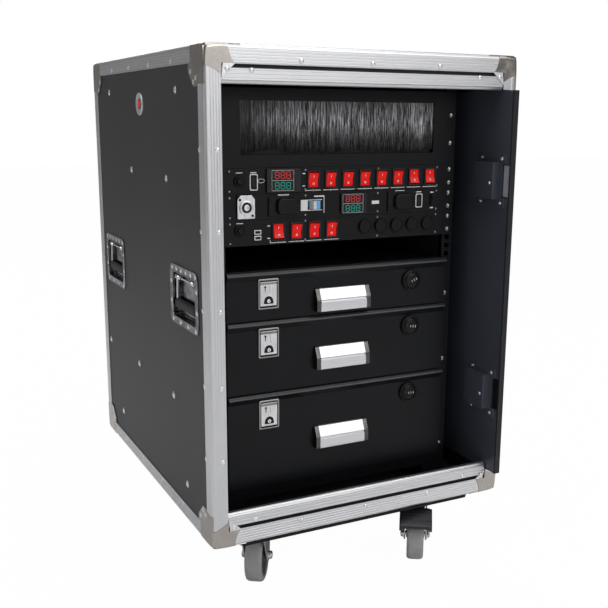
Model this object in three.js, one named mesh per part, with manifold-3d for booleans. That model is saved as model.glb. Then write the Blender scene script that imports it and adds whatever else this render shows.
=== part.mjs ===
// A sixteen-unit flight case for 19 inch equipment, on four swivel casters.
// Millimetres, +Z up. Inside this file the case is drawn from its own corner planes: x = 0 in the middle,
// y = 0 on the front face (the case runs to +Y) and z = 0 on the underside. The outer group then moves the
// whole case so that its origin is the middle of the floor rectangle that it stands over.
import * as THREE from "three";
import { mergeVertices } from "three/addons/utils/BufferGeometryUtils.js";
import Module from "manifold-3d";

const wasm = await Module();
wasm.setup();

// ---- Driving dimensions ----
const GAP = 0.3; // clearance between pieces that touch
const UNIT = 44.45; // one rack unit
const CASE = { width: 604, depth: 718, height: 843 };
const PLY = 9; // panel thickness
const SKIN = 1.8; // wall of the aluminium edge profiles
const FLANGE = 29; // width of an edge profile on the sides and the back
const FACE = 31; // height of the top and bottom profiles on the front
const BRACE = { proud: 0.8, reach: 62, tab: 72 }; // pressed steel corners
const TONGUE = { gap: 6, height: 19, lip: 6, set: 2, depth: 10 }; // second rail inside the front opening
const RACK = { x: -16.3, front: 80, top: 780, half: 241.3, plate: 2, units: 16 };
const RAIL = { inner: 223, outer: 245, wall: 2.5, web: 40, back: 660, hole: 9.5, pitch: [6.35, 22.2, 38.1] };
const FREE_UNIT = 6;
const DOOR = { inner: 275.5, outer: 287, front: -28, back: 530, bottom: 47.5, top: 782 };
const REAR = { half: 270.9, bottom: 31.1, top: 811.9, front: 706.5, back: 715.5, trim: 2, edge: 20 };
const HINGE = { x: 272.3, y: 722.5, r: 4.2, pin: 2, bore: 2.3, bottom: 60, top: 783 };
const CASTER = { radius: 50, width: 33, trail: 35, floor: -125, axle: 5, boardTop: -1.1, boardBottom: -5.5 };
const HANDLE = { z: 422, ys: [126, 592], half: [75, 54], pocket: [59.5, 40.5, 38.5], depth: 14, pivot: 30 };
const TILT = THREE.MathUtils.degToRad(8); // half of a rocker's travel
const HALF = { x: CASE.width / 2, y: CASE.depth / 2 };
const PANEL = { out: HALF.x - SKIN - GAP, y0: SKIN + GAP, y1: CASE.depth - SKIN - GAP };

// ---- Shapes ----
// Axis letters name the direction that a prism or cylinder runs along.
const BASES = {
  x: [new THREE.Vector3(0, 1, 0), new THREE.Vector3(0, 0, 1), new THREE.Vector3(1, 0, 0)],
  y: [new THREE.Vector3(0, 0, 1), new THREE.Vector3(1, 0, 0), new THREE.Vector3(0, 1, 0)],
  z: [new THREE.Vector3(1, 0, 0), new THREE.Vector3(0, 1, 0), new THREE.Vector3(0, 0, 1)],
};

function solid(geometry) {
  for (const name of ["normal", "uv"]) geometry.deleteAttribute(name);
  const merged = mergeVertices(geometry, 1e-4);
  return new wasm.Manifold(new wasm.Mesh({
    numProp: 3,
    vertProperties: new Float32Array(merged.attributes.position.array),
    triVerts: new Uint32Array(merged.index.array),
  }));
}

function box(x0, x1, y0, y1, z0, z1, parts = 1) {
  const geometry = new THREE.BoxGeometry(x1 - x0, y1 - y0, z1 - z0, parts, parts, 1);
  geometry.translate((x0 + x1) / 2, (y0 + y1) / 2, (z0 + z1) / 2);
  return solid(geometry);
}

// Points are (y, z) along x, (x, z) along y and (x, y) along z.
function prism(axis, points, from, to) {
  const flat = points.map(([a, b]) => (axis === "y" ? new THREE.Vector2(b, a) : new THREE.Vector2(a, b)));
  const settings = { depth: to - from, bevelEnabled: false };
  const geometry = new THREE.ExtrudeGeometry(new THREE.Shape(flat), settings);
  geometry.translate(0, 0, from);
  geometry.applyMatrix4(new THREE.Matrix4().makeBasis(...BASES[axis]));
  return solid(geometry);
}

function circle(a, b, radius, sides = 24) {
  return Array.from({ length: sides }, (_, i) => {
    const turn = (2 * Math.PI * i) / sides;
    return [a + radius * Math.cos(turn), b + radius * Math.sin(turn)];
  });
}

function rod(axis, a, b, radius, from, to, sides = 24) {
  return prism(axis, circle(a, b, radius, sides), from, to);
}

function join(...pieces) {
  return pieces.flat().reduce((whole, piece) => whole.add(piece));
}

function cut(whole, ...pieces) {
  return pieces.flat().reduce((rest, piece) => rest.subtract(piece), whole);
}

// ---- Finishes and placing ----
const FINISH = {
  laminate: { color: 0x3c3c3c, roughness: 0.7, metalness: 0 },
  aluminium: { color: 0xc4c6c8, roughness: 0.4, metalness: 0.9 },
  steel: { color: 0x9b938a, roughness: 0.35, metalness: 0.9 },
  chrome: { color: 0xd0d0d0, roughness: 0.15, metalness: 1 },
  zinc: { color: 0xb4b8b2, roughness: 0.4, metalness: 0.9 },
  black_paint: { color: 0x26272b, roughness: 0.5, metalness: 0.1 },
  black_plastic: { color: 0x17181a, roughness: 0.45, metalness: 0 },
  rubber: { color: 0x1b1b1b, roughness: 0.8, metalness: 0 },
  tyre: { color: 0x817d7a, roughness: 0.75, metalness: 0 },
  bristle: { color: 0x35373a, roughness: 0.9, metalness: 0 },
  rocker_red: { color: 0xe02418, roughness: 0.3, metalness: 0 },
  toggle_blue: { color: 0x2a62b8, roughness: 0.35, metalness: 0 },
};

const rackCase = new THREE.Group();
const shell = new THREE.Group();
rackCase.add(shell);

function add(name, shape, finish, parent = shell) {
  const { vertProperties, triVerts } = shape.getMesh();
  const geometry = new THREE.BufferGeometry();
  geometry.setAttribute("position", new THREE.BufferAttribute(new Float32Array(vertProperties), 3));
  geometry.setIndex(new THREE.BufferAttribute(new Uint32Array(triVerts), 1));
  const mesh = new THREE.Mesh(geometry, new THREE.MeshStandardMaterial(FINISH[finish]));
  mesh.name = name;
  parent.add(mesh);
  return mesh;
}

// ---- Plywood panels ----
function sidePanel(sign) {
  const [inside, outside] = [PANEL.out - PLY, PANEL.out];
  const [x0, x1] = sign < 0 ? [-outside, -inside] : [inside, outside];
  const [halfY, below, above] = HANDLE.pocket;
  const rim = SKIN + GAP;
  const holes = HANDLE.ys.map((y) => box(
    x0 - 1, x1 + 1, y - halfY - rim, y + halfY + rim, HANDLE.z - below - rim, HANDLE.z + above + rim,
  ));
  return cut(box(x0, x1, PANEL.y0, PANEL.y1, SKIN + GAP, CASE.height - SKIN - GAP), holes);
}

function addPanels() {
  add("left_panel", sidePanel(-1), "laminate");
  add("right_panel", sidePanel(1), "laminate");
  const half = PANEL.out - PLY - GAP;
  const top = CASE.height - SKIN - GAP;
  const bottom = SKIN + GAP;
  add("top_panel", box(-half, half, PANEL.y0, PANEL.y1, top - PLY, top, 3), "laminate");
  add("bottom_panel", box(-half, half, PANEL.y0, PANEL.y1, bottom, bottom + PLY), "laminate");
}

// ---- Aluminium edges and steel corners ----
// A corner is three pressed plates. Their outlines are measured inwards from the corner's own edges.
const CLEAR = FLANGE + BRACE.proud + GAP; // the tabs pass just beside the side rails
const TAB_OUTLINE = [
  [0, 0], [BRACE.reach, 0], [BRACE.reach, CLEAR], [BRACE.tab, CLEAR], [BRACE.tab, 42],
  [48, 66], [CLEAR, 66], [CLEAR, BRACE.reach], [0, BRACE.reach],
];
const FRONT_OUTLINE = [[0, 0], [41, 0], [52, FACE], [FLANGE, 46], [0, 33]];
const BACK_OUTLINE = [[0, 0], [60, 0], [60, 28.5], [28.5, 28.5], [28.5, 60], [0, 60]];

function corner(signX, signZ, front) {
  const edge = {
    x: signX * (HALF.x + BRACE.proud),
    z: signZ < 0 ? -BRACE.proud : CASE.height + BRACE.proud,
  };
  const edgeY = front ? -BRACE.proud : CASE.depth + BRACE.proud;
  const wall = SKIN + BRACE.proud;
  const stepY = front ? 1 : -1;
  const span = (edgeAt, step) => [edgeAt, edgeAt + step * wall].sort((a, b) => a - b);
  const inX = (a) => edge.x - signX * a;
  const inY = (b) => edgeY + stepY * b;
  const inZ = (c) => edge.z - signZ * c;
  const outline = front ? FRONT_OUTLINE : BACK_OUTLINE;
  return join(
    prism("y", outline.map(([a, c]) => [inX(a), inZ(c)]), ...span(edgeY, stepY)),
    prism("x", TAB_OUTLINE.map(([b, c]) => [inY(b), inZ(c)]), ...span(edge.x, -signX)),
    prism("z", TAB_OUTLINE.map(([a, b]) => [inX(a), inY(b)]), ...span(edge.z, -signZ)),
  );
}

function corners(front) {
  return [-1, 1].flatMap((x) => [-1, 1].map((z) => corner(x, z, front)));
}

function frontFrame() {
  const { x: hx } = HALF;
  const h = CASE.height;
  const stile = 289; // the right stile stops outside the pocket door
  const profiles = [
    box(-hx, hx, 0, SKIN, h - FACE, h), box(-hx, hx, 0, FLANGE, h - SKIN, h),
    box(-hx, hx, 0, SKIN, 0, FACE), box(-hx, hx, 0, FLANGE, 0, SKIN),
    box(-hx, -hx + FLANGE, 0, SKIN, 0, h), box(-hx, -hx + SKIN, 0, FLANGE, 0, h),
    box(stile, hx, 0, SKIN, 0, h), box(hx - SKIN, hx, 0, FLANGE, 0, h),
    box(-hx + FLANGE - SKIN, -hx + FLANGE, 0, 12, FACE, h - FACE),
  ];
  const reach = hx - FLANGE; // the tongue rails run between the stiles and stop short of the door
  const tongues = [-1, 1].flatMap((sign) => {
    const at = (d) => (sign < 0 ? d : h - d);
    const band = (d0, d1) => [Math.min(at(d0), at(d1)), Math.max(at(d0), at(d1))];
    const start = FACE + TONGUE.gap;
    const end = start + TONGUE.height;
    const back = TONGUE.set + TONGUE.depth;
    const rail = box(-reach, reach, TONGUE.set, back, ...band(start, end));
    const lip = box(-reach, reach, TONGUE.set + 2, back + 3, ...band(end - 1, end + TONGUE.lip));
    const web = box(-reach, reach, TONGUE.set + 6, back, ...band(FACE - 6, start + 1));
    const root = box(-reach, reach, 0, back, ...band(FACE - 6, FACE));
    const ties = [-1, 1].map((side) => box(
      side < 0 ? -reach : reach - 22, side < 0 ? -reach + 22 : reach, -BRACE.proud, TONGUE.set + 1,
      ...band(FACE - 5, start + 9),
    ));
    return [rail, lip, web, root, ...ties];
  });
  return join(profiles, tongues, corners(true));
}

function shellFrame() {
  const { x: hx } = HALF;
  const h = CASE.height;
  const d = CASE.depth;
  const start = BRACE.reach + 0.6; // the side rails begin behind the front corners
  const inner = hx - FLANGE;
  const rails = [-1, 1].flatMap((sign) => {
    const side = (a, b) => [Math.min(sign * a, sign * b), Math.max(sign * a, sign * b)];
    return [
      box(...side(hx - SKIN, hx), start, d, h - FLANGE, h), box(...side(inner, hx), start, d, h - SKIN, h),
      box(...side(hx - SKIN, hx), start, d, 0, FLANGE), box(...side(inner, hx), start, d, 0, SKIN),
      box(...side(inner, hx), d - SKIN, d, 0, h), box(...side(hx - SKIN, hx), d - FLANGE, d, 0, h),
      box(...side(inner - 1.5, inner), d - 14, d, FLANGE, h - FLANGE),
    ];
  });
  const bars = [
    box(-hx, hx, d - SKIN, d, h - FLANGE, h), box(-hx, hx, d - FLANGE, d, h - SKIN, h),
    box(-hx, hx, d - SKIN, d, 0, FLANGE), box(-hx, hx, d - FLANGE, d, 0, SKIN),
    box(-inner, inner, d - 14, d, FLANGE, FLANGE + 1.5),
    box(-inner, inner, d - 14, d, h - FLANGE - 1.5, h - FLANGE),
  ];
  const strikes = REAR_LATCH_Z.map((z) => box(-hx + 3, -inner, d - 0.5, d + 2, z - 30, z + 30));
  return join(rails, bars, corners(false), strikes);
}

// ---- Back door ----
const REAR_LATCH_X = -241;
const REAR_LATCH_Z = [CASE.height / 2 - 106, CASE.height / 2 + 106];
const KNUCKLES = [120, CASE.height / 2, 723]; // middle of each group of three knuckles

function rearDoor() {
  const panel = box(-REAR.half, REAR.half, REAR.front, REAR.back, REAR.bottom, REAR.top);
  const face = REAR.back + REAR.trim;
  const foot = CASE.depth + GAP;
  const trim = cut(
    box(-REAR.half, REAR.half, REAR.back, face, REAR.bottom, REAR.top),
    box(-REAR.half + REAR.edge, REAR.half - REAR.edge, REAR.back - 1, face + 1,
      REAR.bottom + REAR.edge, REAR.top - REAR.edge),
  );
  const dishes = REAR_LATCH_Z.map((z) => box(
    REAR_LATCH_X - 28, REAR_LATCH_X + 28, REAR.back, face + 1.4, z - 50, z + 50,
  ));
  const leaf = box(246, HINGE.x - HINGE.r - 0.5, REAR.back, face + 1.6, HINGE.bottom, HINGE.top);
  const knuckles = KNUCKLES.map((z) => cut(
    join(
      rod("z", HINGE.x, HINGE.y, HINGE.r, z - 14.6, z + 14.6),
      box(HINGE.x - HINGE.r - 9, HINGE.x, foot, foot + 1.6, z - 14.6, z + 14.6),
    ),
    rod("z", HINGE.x, HINGE.y, HINGE.bore, z - 15, z + 15),
  ));
  return join(panel, trim, dishes, leaf, knuckles);
}

function rearHingeLeaf() {
  const foot = CASE.depth + GAP;
  const leaf = box(HINGE.x + HINGE.r + 0.5, 298, foot, foot + 1.7, HINGE.bottom, HINGE.top);
  const knuckles = KNUCKLES.flatMap((z) => [-1, 1].map((side) => {
    const span = side < 0 ? [z - 45, z - 15.2] : [z + 15.2, z + 45];
    return join(
      rod("z", HINGE.x, HINGE.y, HINGE.r, ...span),
      box(HINGE.x, HINGE.x + HINGE.r + 1, foot, foot + 1.7, ...span),
    );
  }));
  const pins = KNUCKLES.map((z) => rod("z", HINGE.x, HINGE.y, HINGE.pin, z - 40, z + 40, 12));
  return join(leaf, knuckles, pins);
}

function latchWing() {
  const base = REAR.back + REAR.trim + 1.4 + GAP;
  return join(
    rod("y", 0, 0, 11, base, base + 2.2),
    box(-9, 9, base + 1.5, base + 3.7, -31, 31),
    box(-1.6, 1.6, base + 3, base + 5.6, -26, 26),
  );
}

function addBackDoor() {
  add("rear_door", rearDoor(), "laminate");
  add("rear_hinge_leaf", rearHingeLeaf(), "zinc");
  ["lower", "upper"].forEach((level, i) => {
    const wing = add(`rear_latch_wing_${level}`, latchWing(), "zinc");
    wing.position.set(REAR_LATCH_X, 0, REAR_LATCH_Z[i]);
  });
}

// ---- Spring handles in recessed dishes ----
// Each handle is drawn with its outer face on x = 0, outward along -x, and its middle on y = z = 0.
function dish() {
  const [halfY, halfZ] = HANDLE.half;
  const [inY, below, above] = HANDLE.pocket;
  const wall = 1.5;
  return cut(
    join(
      box(GAP, SKIN, -halfY, halfY, -halfZ, halfZ),
      box(GAP, HANDLE.depth, -inY - wall, inY + wall, -below - wall, above + wall),
    ),
    box(-1, HANDLE.depth - wall, -inY, inY, -below, above),
  );
}

function bail() {
  const inner = HANDLE.depth - 1.5 - 0.6;
  const half = HANDLE.pocket[0] - 0.6;
  const strap = [[3, 33], [10, 33], [inner, 29], [inner, -14], [1.4, -14]];
  const arm = (y) => prism("y", strap, y - 2.5, y + 2.5);
  const grip = prism("y", [
    [3, -8], [10, -8], [inner, -11], [inner, -23], [10, -26], [3, -26], [1.2, -23], [1.2, -11],
  ], -52, 52);
  return join(rod("y", 7, HANDLE.pivot, 3, -half, half, 16), arm(-50), arm(50), grip);
}

function addHandles() {
  for (const [side, sign] of [["left", -1], ["right", 1]]) {
    HANDLE.ys.forEach((y, i) => {
      const place = new THREE.Group();
      place.position.set(sign * HALF.x, y, HANDLE.z);
      place.rotation.z = sign < 0 ? 0 : Math.PI;
      shell.add(place);
      const end = i === 0 ? "front" : "rear";
      add(`handle_dish_${side}_${end}`, dish(), "steel", place);
      add(`handle_bail_${side}_${end}`, bail(), "rubber", place);
    });
  }
}

// ---- Casters ----
// Swivel positions, and the heading of each wheel: the angle of its rolling plane from +Y, clockwise.
const CASTERS = [
  { name: "front_left", x: -201, y: 62, heading: 213, brake: true },
  { name: "front_right", x: 153, y: 62, heading: 33, brake: true },
  { name: "rear_left", x: -201, y: 664, heading: 200, brake: false },
  { name: "rear_right", x: 158, y: 664, heading: 235, brake: false },
];
const PLATE_BOTTOM = CASTER.boardBottom - 3.1;
const AXLE_Z = CASTER.floor + CASTER.radius;

function casterBoard() {
  const chamfer = 20;
  const [x0, x1, y0, y1] = [-262, 250, 3, 713];
  const outline = [
    [x0 + chamfer, y0], [x1 - chamfer, y0], [x1, y0 + chamfer], [x1, y1 - chamfer], [x1 - chamfer, y1],
    [x0 + chamfer, y1], [x0, y1 - chamfer], [x0, y0 + chamfer],
  ];
  const plates = CASTERS.map(({ x, y }) => box(
    x - 50, x + 50, y - 42, y + 42, PLATE_BOTTOM, CASTER.boardBottom + 1,
  ));
  return join(prism("z", outline, CASTER.boardBottom, CASTER.boardTop), plates);
}

function fork() {
  const top = PLATE_BOTTOM - GAP;
  const legInner = CASTER.width / 2 + 3;
  const legOuter = legInner + 3;
  const side = [[20, -13], [-34, -13], [-49, -70], [-45, -84], [-27, -86], [-16, -72]];
  const legs = [-1, 1].map((s) => prism(
    "x", side, Math.min(s * legInner, s * legOuter), Math.max(s * legInner, s * legOuter),
  ));
  const nuts = [-1, 1].map((s) => rod(
    "x", -CASTER.trail, AXLE_Z, 9, Math.min(s * legOuter, s * (legOuter + 7)),
    Math.max(s * legOuter, s * (legOuter + 7)), 6,
  ));
  return join(
    rod("z", 0, 0, 29, top - 6, top, 32),
    box(-legOuter, legOuter, -34, 20, -16, -12),
    legs, nuts,
    rod("x", -CASTER.trail, AXLE_Z, CASTER.axle, -legOuter, legOuter),
  );
}

function wheel() {
  const half = CASTER.width / 2;
  const bore = CASTER.axle + 0.6;
  const rim = CASTER.radius - 11;
  const profile = [
    [bore, -half - 1], [16, -half - 1], [18, -half + 5], [rim - 3, -half + 5], [rim, -half],
    [CASTER.radius - 3, -half], [CASTER.radius, -half + 4], [CASTER.radius, half - 4],
    [CASTER.radius - 3, half], [rim, half], [rim - 3, half - 5], [18, half - 5], [16, half + 1],
    [bore, half + 1], [bore, -half - 1],
  ].map(([r, w]) => new THREE.Vector2(r, w));
  const geometry = new THREE.LatheGeometry(profile, 36);
  geometry.rotateZ(-Math.PI / 2);
  return solid(geometry);
}

const PEDAL = { pivotY: -22, pivotZ: -19, wide: 32, narrow: 18 };

function pedal() {
  return join(
    box(-PEDAL.narrow, PEDAL.narrow, -50, PEDAL.pivotY + 3, PEDAL.pivotZ - 2, PEDAL.pivotZ + 2),
    prism("x", [
      [-46, -15], [-60, -17], [-92, -31], [-95, -38], [-91, -40], [-60, -24], [-46, -21],
    ], -PEDAL.wide, PEDAL.wide),
  );
}

function addCasters() {
  add("caster_board", casterBoard(), "laminate");
  for (const { name, x, y, heading, brake } of CASTERS) {
    const swivel = new THREE.Group();
    swivel.position.set(x, y, 0);
    swivel.rotation.z = -THREE.MathUtils.degToRad(heading);
    shell.add(swivel);
    add(`caster_fork_${name}`, fork(), "zinc", swivel);
    add(`caster_wheel_${name}`, wheel(), "tyre", swivel).position.set(0, -CASTER.trail, AXLE_Z);
    if (brake) add(`brake_pedal_${name}`, pedal(), "black_plastic", swivel);
  }
}

// ---- Rack frame and what is bolted into it ----
// Everything below is drawn about the rack's own centre line and hung in a group there.
const rack = new THREE.Group();
rack.position.set(RACK.x, 0, 0);
shell.add(rack);
const unitTop = (count) => RACK.top - count * UNIT;
const PLATE_BACK = RACK.front + RACK.plate;

function rackFrame() {
  const bottom = 44;
  const top = 812;
  const y0 = PLATE_BACK + 0.6;
  const outer = RAIL.outer;
  const both = [-1, 1];
  const band = (s, a, b) => [Math.min(s * a, s * b), Math.max(s * a, s * b)];
  const uprights = both.flatMap((s) => [
    box(...band(s, RAIL.inner, outer), y0, y0 + RAIL.wall, bottom, top),
    box(...band(s, outer - RAIL.wall, outer), y0, y0 + RAIL.web, bottom, top),
    box(...band(s, RAIL.inner, outer), RAIL.back - RAIL.wall, RAIL.back, bottom, top),
    box(...band(s, outer - RAIL.wall, outer), RAIL.back - RAIL.web, RAIL.back, bottom, top),
  ]);
  const ring = (z0, z1) => [
    box(-outer, outer, y0, y0 + 24, z0, z1), box(-outer, outer, RAIL.back - 24, RAIL.back, z0, z1),
    ...both.map((s) => box(...band(s, outer - 20, outer), y0, RAIL.back, z0, z1)),
  ];
  const floor = SKIN + GAP + PLY + GAP;
  const ceiling = CASE.height - SKIN - GAP - PLY - GAP;
  const blocks = both.flatMap((s) => [y0, RAIL.back - 50].flatMap((y) => [
    box(...band(s, outer - 50, outer), y, y + 50, floor, bottom),
    box(...band(s, outer - 50, outer), y, y + 50, top, ceiling),
  ]));
  const wall = -(PANEL.out - PLY - GAP) - RACK.x;
  const brackets = [226, 626].flatMap((z) => [y0 + 2, RAIL.back - RAIL.web].map((y) => (
    box(wall, -outer + 1, y, y + RAIL.web - 4, z - 11, z + 11)
  )));
  const low = RACK.top - RACK.units * UNIT - GAP;
  const whole = join(uprights, ring(bottom, low), ring(RACK.top + 10, top), blocks, brackets);
  const [h, x] = [RAIL.hole / 2, (RAIL.inner + outer) / 2];
  return cut(whole, both.flatMap((s) => RAIL.pitch.map((up) => {
    const z = unitTop(FREE_UNIT + 1) + up;
    return box(s * x - h, s * x + h, y0 - 1, y0 + RAIL.wall + 1, z - h, z + h);
  })));
}

function blank(units, start) {
  const z1 = unitTop(start) - GAP;
  const z0 = unitTop(start + units) + GAP;
  return box(-RACK.half, RACK.half, RACK.front, PLATE_BACK, z0, z1);
}

const WINDOW = { half: 194, top: 21.5, bottom: 111.7 };

function addBrushPanel() {
  const z1 = RACK.top - GAP;
  const z0 = unitTop(3) + GAP;
  const sill = RACK.top - WINDOW.bottom;
  const window = box(
    -WINDOW.half, WINDOW.half, RACK.front - 1, PLATE_BACK + 1, sill, RACK.top - WINDOW.top,
  );
  const folds = [[z0, z0 + 1.5], [z1 - 1.5, z1]].map(([a, b]) => (
    box(-220, 220, RACK.front, RACK.front + 14, a, b)
  ));
  add("brush_panel", join(cut(blank(3, 0), window), folds), "black_paint", rack);
  const head = RACK.top - WINDOW.top + 8;
  add("brush_strip", join(
    box(-WINDOW.half - 12, WINDOW.half + 12, PLATE_BACK + GAP, PLATE_BACK + 9, head - 15, head),
    box(-WINDOW.half + 1, WINDOW.half - 1, PLATE_BACK + 2, PLATE_BACK + 6, sill + 6, head - 5),
  ), "bristle", rack);
}

function chassis(start, depth) {
  const [half, wall] = [218, 1.5];
  const [z0, z1] = [unitTop(start + 1) + 1, unitTop(start) - 1];
  return cut(
    box(-half, half, PLATE_BACK - 0.5, PLATE_BACK + depth, z0, z1),
    box(-half + wall, half - wall, PLATE_BACK, PLATE_BACK + depth + 1, z0 + wall, z1 - wall),
  );
}

function raised(x, z, width, height, proud) {
  const [a, b] = [width / 2, height / 2];
  return box(x - a, x + a, RACK.front - proud, RACK.front + 0.5, z - b, z + b);
}

function through(x, z, width, height) {
  return box(x - width / 2, x + width / 2, RACK.front - 20, PLATE_BACK + 3, z - height / 2, z + height / 2);
}

// Rocker switches: a frame on the panel, and a key on a pin behind it that rests tipped one way.
const ROCKER = { frame: [24, 31], hole: [19.6, 27.6], key: 18.6, pitch: 35, pivot: 4 };

function rockerKey() {
  const section = [[-5.5, 0], [-7.5, 12.3], [3, 12.3], [3, -12.3], [-7.5, -12.3]];
  return prism("x", section, -ROCKER.key / 2, ROCKER.key / 2);
}

function addRockers(unitName, xs, z, flipped) {
  xs.forEach((x, i) => {
    const key = add(`${unitName}_rocker_${i + 1}`, rockerKey(), "rocker_red", rack);
    key.position.set(x, RACK.front + ROCKER.pivot, z);
    key.rotation.x = flipped(i) ? -TILT : TILT;
  });
}

function buttonCollar(x, z) {
  return rod("y", x, z, 9.5, RACK.front - 3, RACK.front + 0.5, 24);
}

function buttonHole(x, z) {
  return rod("y", x, z, 6.2, RACK.front - 10, PLATE_BACK + 3, 24);
}

function addButton(name, x, z) {
  add(name, rod("y", x, z, 5.7, RACK.front - 6, PLATE_BACK + 6, 24), "black_plastic", rack);
}

const BUTTON_X = -197;
const ROW_1 = Array.from({ length: 8 }, (_, i) => -57 + ROCKER.pitch * i);
const ROW_3 = Array.from({ length: 4 }, (_, i) => -124.5 + ROCKER.pitch * i);
const BREAKER = { x: -57.5, pivot: 84, length: 14, rest: 18, hole: 23.6 };

function addPowerUnits() {
  const mid = (start) => unitTop(start + 0.5);
  const frames = (xs, z) => xs.map((x) => raised(x, z, ...ROCKER.frame, 2.5));
  const holes = (xs, z) => xs.map((x) => through(x, z, ...ROCKER.hole));

  const z1 = mid(3);
  add("power_unit_1", cut(
    join(blank(1, 3), chassis(3, 190), frames(ROW_1, z1), buttonCollar(BUTTON_X, z1),
      raised(-170.7, z1 - 2, 15, 28, 1), raised(-115.5, z1, 64, 40, 4)),
    holes(ROW_1, z1), buttonHole(BUTTON_X, z1),
  ), "black_paint", rack);
  addRockers("power_unit_1", ROW_1, z1, (i) => i >= 6);
  addButton("power_unit_1_reset", BUTTON_X, z1);

  const z2 = mid(4);
  const breakerBase = raised(BREAKER.x - 4.8, z2, 42.4, 20, 4);
  add("power_unit_2", cut(
    join(blank(1, 4), chassis(4, 190), raised(-186.4, z2 + 1, 32, 40, 4), raised(-113.8, z2, 60, 34, 3),
      breakerBase, raised(23.7, z2, 52, 36, 4), raised(124.4, z2, 56, 38, 3),
      raised(165, z2, 15, 26, 1), raised(195, z2, 9, 22, 3)),
    through(BREAKER.x, z2, BREAKER.hole, 16.4),
  ), "black_paint", rack);
  const toggle = add("power_unit_2_breaker", prism("z", [
    [-8.5, 2], [8.5, 2], [8, -BREAKER.length], [-8, -BREAKER.length],
  ], -7.5, 7.5), "toggle_blue", rack);
  toggle.position.set(BREAKER.x, BREAKER.pivot, z2);
  toggle.rotation.z = THREE.MathUtils.degToRad(BREAKER.rest);

  const z3 = mid(5);
  const sockets = Array.from({ length: 5 }, (_, i) => (
    rod("y", 49.5 + 34 * i, z3 + 1, 12.5, RACK.front - 3.5, RACK.front + 0.5, 28)
  ));
  add("power_unit_3", cut(
    join(blank(1, 5), chassis(5, 190), frames(ROW_3, z3), buttonCollar(BUTTON_X, z3 + 5),
      raised(-164.3, z3 - 4, 14, 20, 1.5), sockets),
    holes(ROW_3, z3), buttonHole(BUTTON_X, z3 + 5),
  ), "black_paint", rack);
  addRockers("power_unit_3", ROW_3, z3, (i) => i === 0);
  addButton("power_unit_3_reset", BUTTON_X, z3 + 5);
}

// ---- Drawers ----
const DRAWERS = [
  { start: 7, units: 2 },
  { start: 9, units: 3 },
  { start: 12, units: 4 },
];
const SLIDE_ROOM = { housing: 220, tray: 208, wall: 1.5, back: 560, trayBack: 510 };
const FACE_FRONT = 74;
const LATCH = { x: -147.5, drop: 14, size: [39.5, 54], hole: [33, 46.5] };
const PULL = { x: -1, size: [111, 42], out: 13, cap: 8, drop: 21, rise: 2.7 };
const LOCK = { x: 148.5, drop: 38.6, radius: 20 };

function housing({ start, units }) {
  const { housing: half, wall, back } = SLIDE_ROOM;
  const [z0, z1] = [unitTop(start + units) + GAP, unitTop(start) - GAP];
  const shellBox = cut(
    box(-half, half, PLATE_BACK - 0.5, back, z0, z1),
    box(-half + wall, half - wall, RACK.front - 5, back - wall, z0 + wall, z1 - wall),
  );
  const ears = cut(
    box(-RACK.half, RACK.half, RACK.front, PLATE_BACK, z0, z1),
    box(-half + wall, half - wall, RACK.front - 5, back - wall, z0 + wall, z1 - wall),
  );
  const zm = (z0 + z1) / 2;
  const slides = [-1, 1].map((s) => {
    const [x0, x1] = [s * (half - wall), s * 214.6].sort((a, b) => a - b);
    return box(x0, x1, 90, 540, zm - 17, zm + 17);
  });
  return join(shellBox, ears, slides);
}

function cupPull(z) {
  const [half, top] = PULL.size.map((size) => size / 2);
  const tip = FACE_FRONT - PULL.out;
  const place = (points) => points.map(([y, dz]) => [y, z + dz]);
  const skin = place([
    [FACE_FRONT + 0.5, top], [FACE_FRONT - 3.5, top - 0.6], [tip + 1, 2], [tip + 2.2, -1], [tip, -top + 7],
    [tip, -top], [FACE_FRONT + 0.5, -top],
  ]);
  const hollow = place([
    [FACE_FRONT, top - 3.5], [FACE_FRONT - 2, top - 4], [tip + 3.6, 0], [tip + 4.7, -2],
    [tip + 2.5, -top + 6], [tip + 2.5, -top - 1], [FACE_FRONT, -top - 1],
  ]);
  return cut(
    prism("x", skin, PULL.x - half, PULL.x + half),
    prism("x", hollow, PULL.x - half + PULL.cap, PULL.x + half - PULL.cap),
  );
}

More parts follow.
